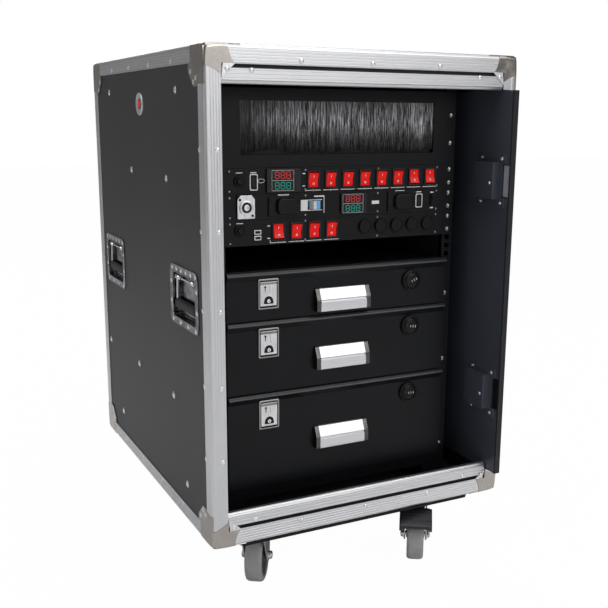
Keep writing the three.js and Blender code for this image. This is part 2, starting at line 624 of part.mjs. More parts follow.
function drawer({ start, units }) {
  const [z0, z1] = [unitTop(start + units) + 1.2, unitTop(start) - 1.2];
  const half = 226;
  const lip = prism("x", [
    [FACE_FRONT, z1 - 16], [FACE_FRONT - 7, z1 - 3], [FACE_FRONT - 6, z1], [RACK.front - GAP, z1],
    [RACK.front - GAP, z1 - 16],
  ], -half, half);
  const face = box(-half, half, FACE_FRONT, RACK.front - GAP, z0, z1);
  const { tray, wall, trayBack } = SLIDE_ROOM;
  const [t0, t1] = [z0 + 4, z1 - 10];
  const bin = cut(
    box(-tray, tray, FACE_FRONT + 2, trayBack, t0, t1),
    box(-tray + wall, tray - wall, RACK.front, trayBack - wall, t0 + wall, t1 + 5),
  );
  const zm = (z0 + z1) / 2;
  const runners = [-1, 1].map((s) => box(
    Math.min(s * (tray - 0.5), s * 214), Math.max(s * (tray - 0.5), s * 214), 92, trayBack, zm - 8, zm + 8,
  ));
  const latchZ = z1 + 1.2 - LATCH.drop - LATCH.size[1] / 2;
  const [w, h] = LATCH.size;
  const frame = box(
    LATCH.x - w / 2, LATCH.x + w / 2, FACE_FRONT - 3, FACE_FRONT + 1, latchZ - h / 2, latchZ + h / 2,
  );
  const [hw, hh] = LATCH.hole;
  const well = box(
    LATCH.x - hw / 2, LATCH.x + hw / 2, FACE_FRONT - 10, RACK.front - 1.5, latchZ - hh / 2, latchZ + hh / 2,
  );
  const pull = cupPull(unitTop(start + units / 2) - PULL.drop + PULL.rise * units);
  const lock = rod("y", LOCK.x, unitTop(start) - LOCK.drop, LOCK.radius, FACE_FRONT - 9, FACE_FRONT + 1, 36);
  return cut(join(lip, face, bin, runners, frame, pull, lock), well);
}

// The paddle hangs from a pin at its top edge and is pulled out from below.
function paddle({ start }) {
  const [hw, hh] = LATCH.hole;
  const pinZ = unitTop(start) - LATCH.drop - LATCH.size[1] / 2 + hh / 2 - 2.6;
  const bottom = pinZ - hh + 4.4;
  const y = FACE_FRONT - 1.2;
  return join(
    rod("x", y, pinZ, 1.8, LATCH.x - hw / 2 + GAP, LATCH.x + hw / 2 - GAP, 12).add(
      box(LATCH.x - hw / 2 + 0.8, LATCH.x + hw / 2 - 0.8, y - 1.4, y + 1.4, bottom, pinZ),
    ),
    box(LATCH.x - 9, LATCH.x + 9, y - 1.8, y + 3.4, bottom + 4, bottom + 9),
  );
}

function addDrawers() {
  DRAWERS.forEach((unit, i) => {
    add(`drawer_housing_${i + 1}`, housing(unit), "black_paint", rack);
    add(`drawer_${i + 1}`, drawer(unit), "black_paint", rack);
    add(`drawer_latch_${i + 1}`, paddle(unit), "chrome", rack);
  });
}

// ---- Pocket door, slid back into the right side ----
const DOOR_LATCH_Z = [208.5, 618.5];

function pocketDoor() {
  const slab = box(DOOR.inner, DOOR.outer, DOOR.front, DOOR.back, DOOR.bottom, DOOR.top);
  const notches = DOOR_LATCH_Z.map((z) => box(
    DOOR.inner - 20, DOOR.outer - 3, DOOR.front - 1, DOOR.front + 23, z - 31, z + 31,
  ));
  const covers = DOOR_LATCH_Z.map((z) => join(
    box(DOOR.inner - 1.8, DOOR.inner + 1, DOOR.front + 13, 66, z - 50, z + 50),
    box(DOOR.inner - 15, DOOR.inner, 4, 62, z - 34, z + 34),
  ));
  return cut(join(slab, covers), notches);
}

addPanels();
add("front_frame", frontFrame(), "aluminium");
add("shell_frame", shellFrame(), "aluminium");
addBackDoor();
addHandles();
addCasters();
add("rack_frame", rackFrame(), "black_paint", rack);
addBrushPanel();
addPowerUnits();
addDrawers();
add("pocket_door", pocketDoor(), "laminate");

const bounds = new THREE.Box3().setFromObject(shell);
shell.position.set(-(bounds.min.x + bounds.max.x) / 2, -(bounds.min.y + bounds.max.y) / 2, -bounds.min.z);

export default rackCase;
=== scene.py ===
import math
import random

import bmesh
import bpy
from mathutils import Matrix, Vector


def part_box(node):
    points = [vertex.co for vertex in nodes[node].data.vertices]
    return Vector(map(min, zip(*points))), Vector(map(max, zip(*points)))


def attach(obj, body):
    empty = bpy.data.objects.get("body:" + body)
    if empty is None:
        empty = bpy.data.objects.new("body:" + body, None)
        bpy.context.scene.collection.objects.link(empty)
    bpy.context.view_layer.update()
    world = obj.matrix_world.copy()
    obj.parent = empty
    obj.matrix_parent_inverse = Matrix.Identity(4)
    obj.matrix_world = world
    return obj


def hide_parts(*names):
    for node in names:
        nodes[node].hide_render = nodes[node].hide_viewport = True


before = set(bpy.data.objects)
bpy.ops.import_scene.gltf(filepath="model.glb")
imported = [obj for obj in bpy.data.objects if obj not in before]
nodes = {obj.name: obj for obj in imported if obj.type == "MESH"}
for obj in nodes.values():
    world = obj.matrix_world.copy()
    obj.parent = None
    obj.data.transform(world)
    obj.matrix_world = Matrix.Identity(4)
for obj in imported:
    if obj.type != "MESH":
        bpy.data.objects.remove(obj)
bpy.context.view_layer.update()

# Pieces are drawn in millimetres from the body's own planes: x = 0 in the middle, y = 0 on the front,
# z = 0 underneath.
PANEL_INSET = 0.0021
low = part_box("left_panel")[0]
HOME = Vector((0, low.y - PANEL_INSET, low.z - PANEL_INSET))
TO_ROW = Matrix.Translation(HOME) @ Matrix.Scale(0.001, 4)
W, D, H = 302, 718, 843  # half the width, the depth and the height of the body
RACK_X = -16.3  # the middle of the rack
RACK_TOP, U = 780, 44.45  # the rack's upper end, and one rack unit
FACE, EAR = 80, 232.6  # y of the rack panels' ears, and x of their screws
DRAWERS = ((7, 2), (9, 3), (12, 4))  # rack units above each drawer, and in it
BRUSH_FOOT, HAIR = RACK_TOP - 111.7, 90  # the bristles' lower end and their length
AHEAD, BACK = (0, -1, 0), (0, 1, 0)


def unit(n):
    """The height of the line that is n rack units below the top."""
    return RACK_TOP - n * U


# ---------------- materials
def new_node(tree, kind, **values):
    node = tree.nodes.new("ShaderNode" + kind)
    for key, value in values.items():
        if key in node.inputs:
            node.inputs[key].default_value = value
        else:
            setattr(node, key, value)
    return node


def wire(tree, node, *values):
    """Sets the node's inputs in turn, each to a value or to another node's output."""
    for socket, value in zip(node.inputs, values):
        if isinstance(value, bpy.types.NodeSocket):
            tree.links.new(value, socket)
        else:
            socket.default_value = value
    return node.outputs[0]


def noise(tree, scale, stretch, detail=4):
    mapping = new_node(tree, "Mapping", Scale=stretch)
    out = new_node(tree, "TexNoise", Scale=scale, Detail=detail)
    wire(tree, out, wire(tree, mapping, new_node(tree, "TexCoord").outputs["Object"]))
    return out.outputs["Fac"]


def remap(tree, value, *limits):
    """Carries value from the first two limits to the last two, or to 0 and 1."""
    return wire(tree, new_node(tree, "MapRange"), value, *limits)


def reckon(tree, operation, *values):
    return wire(tree, new_node(tree, "Math", operation=operation), *values)


def blend(tree, mode, *values):
    """values are the factor and the two colours."""
    return wire(tree, new_node(tree, "MixRGB", blend_type=mode), *values)


def material(name, colour, rough, metal=0, spread=0.12, scale=30, bump=0, bump_scale=400, rough_spread=0.08,
             stretch=(1, 1, 1), pebble=0, wear_and_edge_highlight=None, wear_and_highlight_width=0.0012, fixed=()):
    """The colour varies by spread, in clouds of the given scale, and the roughness by rough_spread."""
    m = bpy.data.materials.new(name)
    m.use_nodes = True
    tree = m.node_tree
    link = tree.links.new
    shader = tree.nodes["Principled BSDF"]
    for key, value in {"Metallic": metal, **dict(fixed)}.items():
        shader.inputs[key].default_value = value
    ramp = new_node(tree, "ValToRGB")
    for stop, place, change in zip(ramp.color_ramp.elements, (0.3, 0.7), (-spread, spread)):
        stop.position, stop.color = place, [min(1.0, c * (1 + change)) for c in colour] + [1]
    tint = wire(tree, ramp, noise(tree, scale, stretch))
    height = noise(tree, bump_scale, stretch, 3)
    link(remap(tree, height, 0.3, 0.7, max(0.02, rough - rough_spread), min(1.0, rough + rough_spread)),
         shader.inputs["Roughness"])
    if pebble:
        cells = new_node(tree, "TexVoronoi", Scale=pebble)
        wire(tree, cells, new_node(tree, "TexCoord").outputs["Object"])
        height = cells.outputs["Distance"]
        tint = blend(tree, "MULTIPLY", 0.35, tint, height)
        tint = blend(tree, "ADD", 1.0, tint, [c * 0.22 for c in colour] + [1])
    if bump:
        relief = new_node(tree, "Bump", Strength=bump, Distance=0.0004)
        link(height, relief.inputs["Height"])
        link(relief.outputs[0], shader.inputs["Normal"])
    # Edges lighter, in spots: partly real edge wear, partly a painted highlight where rounded edges catch the
    # light.
    if wear_and_edge_highlight:
        edge = new_node(tree, "Bevel", samples=4, Radius=wear_and_highlight_width)
        dot = new_node(tree, "VectorMath", operation="DOT_PRODUCT")
        wire(tree, dot, edge.outputs[0], new_node(tree, "NewGeometry").outputs["Normal"])
        edge_highlight_mask = remap(tree, dot.outputs["Value"], 0.99, 0.86)
        share = reckon(tree, "MULTIPLY", edge_highlight_mask, noise(tree, 90, (1, 1, 1), 5))
        tint = blend(tree, "MIX", share, tint, list(wear_and_edge_highlight) + [1])
    link(tint, shader.inputs["Base Color"])
    return m


def glow(name, colour, strength):
    return material(name, colour, 0.4, spread=0.15, scale=300,
                    fixed={"Emission Strength": strength, "Emission Color": (*colour, 1)})


BRUSHED = {"x": (0.02, 1, 1), "y": (1, 0.02, 1), "z": (1, 1, 0.02)}
ALU = {axis: material("aluminium_" + axis, (0.67, 0.673, 0.69), 0.38, 1, 0.035, 900, 0.035, 900, 0.06,
                      BRUSHED[axis]) for axis in "xyz"}
DULL = {"Specular IOR Level": 0.2}
LAMINATE = material("laminate", (0.028, 0.0282, 0.0295), 0.5, 0, 0.1, 6, 0.45, 400, 0.06, pebble=750,
                    wear_and_edge_highlight=(0.1, 0.096, 0.092), fixed={"Specular IOR Level": 0.4})
# The pocket door's dark lining, made lighter and bluer: a painted soft reflection.
LINING_PAINTED_REFLECTION = material("door_lining_painted_reflection", (0.06, 0.066, 0.086), 0.33, 0, 0.12, 8, 0.06, 900, 0.05)
STEEL = material("corner_steel", (0.47, 0.435, 0.405), 0.22, 1, 0.13, 18, 0.04, 60, 0.1)
CHROME = material("chrome", (0.78, 0.78, 0.79), 0.13, 1, 0.05, 60, 0.02, 250, 0.06)
# Dark steel whose colour swings strongly in small clouds: painted mottled reflections of the chrome dish.
DISH_PAINTED_REFLECTION = material("dish_steel_painted_reflection", (0.15, 0.152, 0.165), 0.15, 1, 0.85, 85, 0.6, 55, 0.1)
CAP = material("pull_caps", (0.1, 0.1, 0.098), 0.28, 1, 0.12, 60, 0.04, 250, 0.07)
SCREW = material("screw_steel", (0.42, 0.42, 0.41), 0.24, 1, 0.12, 60, 0.04, 250, 0.07)
NICKEL = material("nickel", (0.3, 0.3, 0.295), 0.2, 1, 0.12, 60, 0.04, 250, 0.07)
STUD = material("bright_studs", (0.86, 0.86, 0.87), 0.24, 0.75, 0.05, 80, 0.02, 400, 0.06)
ZINC = material("zinc", (0.62, 0.64, 0.61), 0.34, 1, 0.1, 70, 0.08, 500, 0.1)
SATIN = material("satin_steel", (0.74, 0.74, 0.76), 0.38, 0.9, 0.12, 260, 0.1, 700, 0.08, (1, 1, 0.15))
PULL = material("pull_aluminium", (0.72, 0.72, 0.745), 0.34, 0.85, 0.03, 700, 0.06, 900, 0.05, BRUSHED["x"])
PAINT = material("rack_paint", (0.0048, 0.005, 0.0066), 0.38, 0, 0.12, 25, 0.1, 1400,
                 wear_and_edge_highlight=(0.05, 0.05, 0.055), wear_and_highlight_width=0.0008, fixed=DULL)
POWDER = material("powder_coat", (0.0042, 0.0047, 0.0062), 0.36, 0, 0.1, 16, 0.14, 1100,
                  wear_and_edge_highlight=(0.07, 0.07, 0.075), wear_and_highlight_width=0.0009, fixed=DULL)
# A lighter, glossier copy of the black powder coat: painted light on the drawer lip's upward face.
LIP_PAINTED_LIGHT = material("lip_painted_light", (0.022, 0.023, 0.026), 0.3, 0, 0.1, 16, 0.1, 1100)
PLASTIC = material("black_plastic", (0.006, 0.006, 0.0065), 0.35, 0, 0.15, 50, 0.1, 1500, fixed=DULL)
GREY = material("grey_plastic", (0.022, 0.022, 0.025), 0.45, 0, 0.1, 60, 0.08, 1500, fixed=DULL)
# Pale grey for the upper latch notch: painted light shining through the slot.
NOTCH_PAINTED_LIGHT = material("notch_painted_light", (0.36, 0.36, 0.42), 0.5, 0, 0.08, 60, 0.05)
WHITE = material("white_plastic", (0.72, 0.72, 0.7), 0.4, 0, 0.05, 60, 0.04, 1200)
INK = material("white_ink", (0.78, 0.78, 0.78), 0.55, 0, 0.08, 500, 0.05, 1500)
# Red plastic with a faint painted glow: the rockers and the badge mark are no lamps.
RED_PAINTED_GLOW = material("red_plastic_painted_glow", (0.7, 0.005, 0.003), 0.24, 0, 0.08, 80, 0.03, 900, 0.05,
               fixed={"Coat Weight": 0.06, "Specular IOR Level": 0.2, "Emission Strength": 0.2,
                      "Emission Color": (0.8, 0.004, 0.002, 1)})
BLUE = material("blue_plastic", (0.16, 0.42, 0.86), 0.3, 0, 0.08, 80, 0.03)
RUBBER = material("rubber", (0.016, 0.016, 0.016), 0.62, 0, 0.15, 60, 0.3, 900)
TYRE = material("tyre", (0.34, 0.325, 0.33), 0.6, 0, 0.12, 40, 0.25, 500)
HUB = material("hub", (0.045, 0.047, 0.05), 0.42, 0, 0.15, 60, 0.1, 600)
PEDAL = material("pedal_plastic", (0.02, 0.02, 0.026), 0.36, 0, 0.12, 60, 0.12, 900)
GLASS = material("meter_window", (0.012, 0.012, 0.014), 0.12, 0, 0.1, 60, 0.01)
LED_RED = glow("led_red", (0.7, 0.02, 0.02), 0.4)
LED_GREEN = glow("led_green", (0.004, 0.38, 0.27), 0.32)
DIM = material("dim_ink", (0.5, 0.5, 0.52), 0.6, 0, 0.1, 400, 0.05)


def bristle(name, tone):
    """Dark hair with a painted highlight in a band above the middle of its length, in short streaks, painted
    darker towards the left end, and a faint painted glow.
    """
    # The emission is a faint painted glow: the hairs are no lamp.
    m = material(name, (tone * 0.1,) * 3, 0.34, 0, 0.3, 40, 0.05, 400, 0.08, (1, 1, 0.1),
                 fixed={"Emission Strength": 0.1 * tone, "Specular IOR Level": 0.4})
    tree = m.node_tree
    apart = new_node(tree, "SeparateXYZ")
    wire(tree, apart, new_node(tree, "TexCoord").outputs["Object"])
    foot, top = (z / 1000 + HOME.z for z in (BRUSH_FOOT, BRUSH_FOOT + HAIR))
    height = remap(tree, apart.outputs["Z"], foot, top)
    highlight_wander = reckon(tree, "MULTIPLY_ADD", noise(tree, 55, (1, 1, 0.25), 3), 0.55, -0.275)
    painted_highlight_band = new_node(tree, "ValToRGB")
    stops = painted_highlight_band.color_ramp.elements
    stops[0].position, stops[0].color = 0.06, (0, 0, 0, 1)
    stops[1].position, stops[1].color = 1.0, (0.4, 0.4, 0.4, 1)
    for place, value in ((0.28, 0.22), (0.5, 0.8), (0.66, 1.0), (0.84, 0.7)):
        stops.new(place).color = (value, value, value, 1)
    shine = wire(tree, painted_highlight_band, reckon(tree, "ADD", height, highlight_wander))
    highlight_streak = remap(tree, noise(tree, 420, (1, 1, 0.1), 2), 0.36, 0.56)
    # Painted shade: the highlight fades out towards the strip's left end.
    side = remap(tree, apart.outputs["X"], -0.21, -0.13, 0.15)
    share = reckon(tree, "MULTIPLY", reckon(tree, "MULTIPLY", shine, highlight_streak), side)
    base, painted_glow_colour = (tree.nodes["Principled BSDF"].inputs[key] for key in ("Base Color", "Emission Color"))
    # The painted highlight colour drives both the base colour and the emission.
    mix = blend(tree, "MIX", share, base.links[0].from_socket, (tone, tone, tone * 1.05, 1))
    tree.links.new(mix, base)
    tree.links.new(mix, painted_glow_colour)
    return m


PAINTED_SHEEN_HAIRS = [bristle("bristle_" + str(i), v) for i, v in enumerate((0.2, 0.6, 1.0, 1.0))]


# ---------------- shapes
PLACE = {"x": lambda a, b, t: (t, a, b), "y": lambda a, b, t: (a, t, b), "z": lambda a, b, t: (a, b, t)}


def level(axis, points, t):
    """Lays a flat outline across the axis, at t along it."""
    return [PLACE[axis](a, b, t) for a, b in points]


def circle(a, b, r, sides):
    return [(a + r * math.cos(2 * math.pi * i / sides), b + r * math.sin(2 * math.pi * i / sides))
            for i in range(sides)]


def mirrored(s, a, b):
    """The stretch from a to b, or its mirror image when s is -1."""
    return sorted((s * a, s * b))


def mesh_from(part, name="part"):
    mesh = bpy.data.meshes.new(name)
    part.to_mesh(mesh)
    part.free()
    return mesh


class Shape:
    """Closed solids gathered into one mesh, in millimetres."""

    def __init__(self, name, body, *mats, shift=(0, 0, 0), turn=None):
        self.name, self.body, self.mats = name, body, mats
        self.bm = bmesh.new()
        self.move = Matrix.Translation(Vector(shift)) @ (turn or Matrix.Identity(4))

    def take(self, mesh):
        self.bm.from_mesh(mesh)
        bpy.data.meshes.remove(mesh)
        return self

    def keep(self, part, soft, paint, sharp=32):
        bmesh.ops.recalc_face_normals(part, faces=part.faces)
        if soft:
            edges = [e for e in part.edges if len(e.link_faces) == 2
                     and math.degrees(e.calc_face_angle(0)) > sharp]
            if edges:
                bmesh.ops.bevel(part, geom=edges, offset=soft, segments=2, profile=0.6, affect="EDGES",
                                clamp_overlap=True)
        for f in part.faces:
            f.material_index = paint
        return self.take(mesh_from(part))

    def loft(self, loops, soft=0.0, paint=0, cap=True, round_trip=False):
        """Joins each loop to the next; round_trip joins the last to the first as well."""
        part = bmesh.new()
        rings = [[part.verts.new(p) for p in loop] for loop in loops]
        pairs = list(zip(rings, rings[1:])) + ([(rings[-1], rings[0])] if round_trip else [])
        for a, b in pairs:
            for i in range(len(a)):
                j = (i + 1) % len(a)
                part.faces.new((a[i], a[j], b[j], b[i]))
        if cap and not round_trip:
            part.faces.new(rings[0])
            part.faces.new(rings[-1])
        return self.keep(part, soft, paint)

    def prism(self, axis, points, start, end, soft=0.4, paint=0):
        return self.loft([level(axis, points, t) for t in (start, end)], soft, paint)

    def box(self, x0, x1, y0, y1, z0, z1, soft=0.4, paint=0):
        return self.prism("z", [(x0, y0), (x1, y0), (x1, y1), (x0, y1)], z0, z1, soft, paint)

    def lathe(self, axis, a, b, profile, paint=0, sides=32, soft=0.0, round_trip=False):
        """profile is a list of (radius, place along the axis); a radius of 0 closes an end."""
        loops = [level(axis, circle(a, b, max(r, 0.001), sides), t) for r, t in profile]
        return self.loft(loops, soft, paint, round_trip=round_trip)

    def tube(self, points, radius, paint=0, sides=10, closed=False):
        points = [Vector(p) for p in points]
        loops = []
        last = None
        n = len(points)
        for i, p in enumerate(points):
            ahead = points[(i + 1) % n] if closed or i < n - 1 else p
            behind = points[i - 1] if closed or i > 0 else p
            way = (ahead - behind).normalized()
            if last is None:
                last = way.orthogonal().normalized()
            side = (last - way * last.dot(way)).normalized()
            last = side
            up = way.cross(side)
            loops.append([p + radius * (side * c + up * s) for c, s in circle(0, 0, 1, sides)])
        return self.loft(loops, 0, paint, round_trip=closed)

    def stamp(self, other, matrix):
        """Copies everything drawn in other here, moved by matrix."""
        mesh = bpy.data.meshes.new("stamp")
        other.bm.to_mesh(mesh)
        mesh.transform(matrix)
        if matrix.determinant() < 0:
            mesh.flip_normals()
        return self.take(mesh)

    def done(self, *replaced, smooth=38):
        mesh = bpy.data.meshes.new(self.name)
        self.bm.transform(TO_ROW @ self.move)
        self.bm.to_mesh(mesh)
        self.bm.free()
        for m in self.mats:
            mesh.materials.append(m)
        mesh.shade_smooth()
        mesh.set_sharp_from_angle(angle=math.radians(smooth))
        piece = bpy.data.objects.new(self.name, mesh)
        bpy.context.scene.collection.objects.link(piece)
        normals = piece.modifiers.new("normals", "WEIGHTED_NORMAL")
        normals.keep_sharp = True
        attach(piece, self.body)
        if replaced:
            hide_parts(*replaced)
        return piece


def dress(name, paint, width=0.5):
    """Gives a CAD node its material and softens its edges."""
    piece = nodes[name]
    piece.data.materials.clear()
    piece.data.materials.append(paint)
    weld = piece.modifiers.new("weld", "WELD")
    weld.merge_threshold = 0.00001
    flat = piece.modifiers.new("flat", "DECIMATE")
    flat.decimate_type, flat.angle_limit = "DISSOLVE", math.radians(1)
    soften = piece.modifiers.new("soften", "BEVEL")
    soften.width, soften.segments, soften.limit_method = width / 1000, 2, "ANGLE"
    soften.angle_limit = math.radians(35)
    piece.data.shade_smooth()
    smooth = piece.modifiers.new("normals", "WEIGHTED_NORMAL")
    smooth.keep_sharp = True


def arc(cx, cy, r, start, end, steps=6):
    return [(cx + r * math.cos(math.radians(start + (end - start) * i / steps)),
             cy + r * math.sin(math.radians(start + (end - start) * i / steps))) for i in range(steps + 1)]


def rounded(a0, a1, b0, b1, r, steps=5):
    return (arc(a1 - r, b1 - r, r, 0, 90, steps) + arc(a0 + r, b1 - r, r, 90, 180, steps)
            + arc(a0 + r, b0 + r, r, 180, 270, steps) + arc(a1 - r, b0 + r, r, 270, 360, steps))


def facing(point, normal):
    """A matrix that carries +Z at the origin to normal at point."""
    return Matrix.Translation(Vector(point)) @ Vector(normal).to_track_quat("Z", "Y").to_matrix().to_4x4()


def pop_rivet(r=4.4, h=1.5):
    s = Shape("rivet", None)
    s.lathe("z", 0, 0, [(r, -0.3), (r, 0.15), (r * 0.86, h * 0.62), (r * 0.6, h * 0.95), (r * 0.38, h),
                        (r * 0.3, h * 0.8), (r * 0.27, h * 0.2), (0, h * 0.15)], sides=20)
    return s


def pan_screw(r=4.6, h=2.4, washer=6.6):
    s = Shape("screw", None)
    rim = 0.9
    top = rim + h
    s.lathe("z", 0, 0, [(washer, -0.2), (washer, 0.7), (washer - 0.4, rim), (r + 0.4, rim)], sides=24)
    s.lathe("z", 0, 0, [(r, 0.5), (r, 1.6), (r * 0.85, rim + h * 0.8), (r * 0.5, top), (0, top)], sides=24)
    for turn in (0, 90):
        s.stamp(Shape("slot", None).box(-2.2, 2.2, -0.4, 0.4, top - 0.5, top + 0.08, 0.1, 1),
                Matrix.Rotation(math.radians(turn), 4, "Z"))
    return s


def put(shape, stamp, places):
    for point, normal in places:
        shape.stamp(stamp, facing(point, normal))


# ---------------- aluminium edges
def ribbed_leg(width, margin=4.5, pitch=4.7):
    """Outer line of one leg, from its free end to the corner's arc: (distance from corner, depth)."""
    line = [(width, 1.0), (width - 0.3, 0.3), (width - 1.0, 0.0)]
    g = width - margin
    while g > 6:
        line += [(g + 0.8, 0.0), (g + 0.35, 0.3), (g - 0.35, 0.3), (g - 0.8, 0.0)]
        g -= pitch
    return line


def edge_rail(shape, axis, start, end, corner, way, widths, paint):
    wall, r = 1.8, 5.6
    first = ribbed_leg(widths[0])
    bend = [(r - r * math.sin(math.radians(t)), r - r * math.cos(math.radians(t)))
            for t in (0, 22, 45, 68, 90)]
    second = [(d, s) for s, d in reversed(ribbed_leg(widths[1]))]
    inner = [(wall, widths[1]), (wall, wall), (widths[0], wall)]
    section = [(corner[0] + way[0] * a, corner[1] + way[1] * b) for a, b in first + bend + second + inner]
    shape.prism(axis, section, start, end, 0, paint)


front = Shape("front_edges", "case", ALU["x"], ALU["z"])
edge_rail(front, "x", -266, 266, (0, H), (1, -1), (29, 31), 0)
edge_rail(front, "x", -266, 266, (0, 0), (1, 1), (29, 31), 0)
edge_rail(front, "z", 32, H - 32, (-W, 0), (1, 1), (29, 29), 1)
edge_rail(front, "z", 32, H - 32, (W, 0), (-1, 1), (13, 29), 1)
front.box(-274.8, -273.2, 0.4, 12, 34, H - 34, 0.5, 1)
for z0, z1 in ((29.5, 46.6), (783, H - 29.5)):
    front.box(273.4, 289.5, 0.2, 1.8, z0, z1, 0.3, 1)
for low_side in (True, False):
    at = (lambda d: d) if low_side else (lambda d: H - d)
    face = [(2, 37), (2.0, 39.5), (2.45, 40), (2.45, 41), (2, 41.5), (2, 45.5), (2.45, 46), (2.45, 47),
            (2, 47.5), (2, 51.5), (2.45, 52), (2.45, 53), (2, 53.5), (2, 55.2), (3.2, 56.2), (3.6, 57.2)]
    bead = arc(8, 57.2, 4.4, 180, 60, 7) + [(15, 60.5), (15, 58), (12, 56), (12, 37)]
    front.prism("x", [(y, at(z)) for y, z in face + bead], -272.8, 272.8, 0, 0)
front.done("front_frame", smooth=28)

# Black strips laid in the gap behind the tongue: painted shade in the deep groove.
groove_shade = Shape("front_groove_painted_shade", "case", RUBBER)
groove_shade.box(-273, 273, 8, 12, 25, 38, 0.2)
groove_shade.box(-273, 273, 8, 12, H - 38, H - 25, 0.2)
groove_shade.done()

shell = Shape("shell_edges", "case", ALU["x"], ALU["y"], ALU["z"])
for sx in (-1, 1):
    edge_rail(shell, "y", 34, D - 34, (sx * W, H), (-sx, -1), (29, 29), 1)
    edge_rail(shell, "y", 34, D - 34, (sx * W, 0), (-sx, 1), (29, 29), 1)
    edge_rail(shell, "z", 32, H - 32, (sx * W, D), (-sx, -1), (29, 29), 2)
    shell.box(*mirrored(sx, 271.6, 273), D - 14, D - 0.5, 30, H - 30, 0.4, 2)
edge_rail(shell, "x", -266, 266, (D, H), (-1, -1), (29, 29), 0)
edge_rail(shell, "x", -266, 266, (D, 0), (-1, 1), (29, 29), 0)
shell.box(-271, 271, D - 14, D - 0.5, 29, 30.4, 0.4, 0)
shell.box(-271, 271, D - 14, D - 0.5, H - 30.4, H - 29, 0.4, 0)
for z in (H / 2 - 106, H / 2 + 106):
    shell.box(-299, -273.2, D - 0.5, D + 2, z - 30, z + 30, 0.5, 2)
shell.done("shell_frame", smooth=28)


# ---------------- steel corners
SIDE_TAB = [(0, 0), (62, 0), (62, 30.1), (70, 30.1), (72, 32), (72, 40), (70, 44), (50, 64), (46, 66),
            (32, 66), (30.1, 64), (30.1, 62), (0, 62)]
FRONT_TAB = [(0, 0), (41, 0), (41.5, 6), (43, 14), (46, 22), (51, 30.3), (30, 30.3), (29, 46.5), (20, 41),
             (10, 36.5), (0, 34)]
BACK_TAB = [(0, 0), (60, 0), (60, 26), (58, 28.5), (28.5, 28.5), (28.5, 58), (26, 60), (0, 60)]
CUTS = (2, 4, 6, 9, 12, 16, 20, 25, 30, 36, 42)  # where a corner's faces are divided, so that they can bend


def ball(p):
    """Rounds the three edges of a corner at the origin, and swells the point where they meet."""
    far = min(1.0, p.length / 30)
    r = 4.6 + 4.5 * (1 - far) ** 1.5
    core = Vector([max(c, r) for c in p])
    out = p - core
    return core + out.normalized() * r if out.length > 1e-6 else p


def plate(outline, spots):
    """One face of a corner, cut into small cells so that it can be rounded: spots puts (a, b) in space."""
    part = bmesh.new()
    part.faces.new([part.verts.new(spots(a, b)) for a, b in outline])
    for normal in (Vector((1, 0, 0)), Vector((0, 1, 0)), Vector((0, 0, 1))):
        for step in CUTS:
            bmesh.ops.bisect_plane(part, geom=part.verts[:] + part.edges[:] + part.faces[:],
                                   plane_co=normal * step, plane_no=normal, dist=0.01)
    for v in part.verts:
        v.co = ball(v.co)
    return mesh_from(part)


def steel_corner(front_side):
    """Three tabs that meet at the origin and run along +x, +y and +z."""
    whole = bmesh.new()
    for outline, spots in ((FRONT_TAB if front_side else BACK_TAB, lambda a, c: Vector((a, 0, c))),
                           (SIDE_TAB, lambda b, c: Vector((0, b, c))),
                           (SIDE_TAB, lambda a, b: Vector((a, b, 0)))):
        mesh = plate(outline, spots)
        whole.from_mesh(mesh)
        bpy.data.meshes.remove(mesh)
    bmesh.ops.remove_doubles(whole, verts=whole.verts, dist=0.02)
    bmesh.ops.recalc_face_normals(whole, faces=whole.faces)
    outward = sum(f.normal.dot(Vector((-1, -1, -1))) * f.calc_area() for f in whole.faces)
    if outward < 0:
        bmesh.ops.reverse_faces(whole, faces=whole.faces)
    bmesh.ops.solidify(whole, geom=whole.faces[:], thickness=1.5)
    s = Shape("corner", None).take(mesh_from(whole))
    bmesh.ops.recalc_face_normals(s.bm, faces=s.bm.faces)
    return s


def corner_matrix(sx, front_side, sz):
    at = Vector((sx * (W + 0.3), -0.8 if front_side else D + 0.8, -0.3 if sz < 0 else H + 0.3))
    return Matrix.Translation(at) @ Matrix.Diagonal(Vector((-sx, 1 if front_side else -1, -sz, 1)))


corners = Shape("steel_corners", "case", STEEL)
tabs = Shape("corner_tabs", "case", SATIN)
for front_side in (True, False):
    made = steel_corner(front_side)
    for sx in (-1, 1):
        for sz in (-1, 1):
            corners.stamp(made, corner_matrix(sx, front_side, sz))
    made.bm.free()
for sx in (-1, 1):
    for sz in (-1, 1):
        flat = [(30, 53), (53, 31.8), (33.5, 25.5)]
        if (sx, sz) == (1, -1):
            flat = [(30.5, 47), (51.5, 31.8), (36, 27)]
        points = [(sx * (W + 0.8 - a), c - 0.8 if sz < 0 else H + 0.8 - c) for a, c in flat]
        tabs.prism("y", points, -0.2, 2.4, 0.5)
corners.done(smooth=30)
tabs.done()

# ---------------- rivets
rivets = Shape("edge_rivets", "case", STUD)
UP_EDGES = (680, 550, 419, 288, 159)  # z of the rivets on the upright edges
ALONG_EDGES = (556, 425, 294, 162)  # y of those on the edges that run from front to back
SIDE_TABS = ((60, 801), (47, 785), (60, 42), (47, 57), (36, 52), (36, 791), (659, 801), (672, 785), (659, 42),
             (672, 57))
spots = [((-281, -0.1, z), AHEAD) for z in UP_EDGES]
spots += [((sx * (W + 0.1), 26.5, z), (sx, 0, 0)) for sx in (-1, 1) for z in UP_EDGES]
spots += [((x, -0.1, 820), AHEAD) for x in (-135, -2, 133)]
spots += [((x, -0.1, 23), AHEAD) for x in (-132, 0, 137)]
spots += [((x, 2, z), AHEAD) for x in (-221, 221) for z in (803, 42)]
spots += [((x, -0.2, z), AHEAD) for x, z in ((-263, 804.5), (263, 804.5), (-262.5, 36), (265, 37.5))]
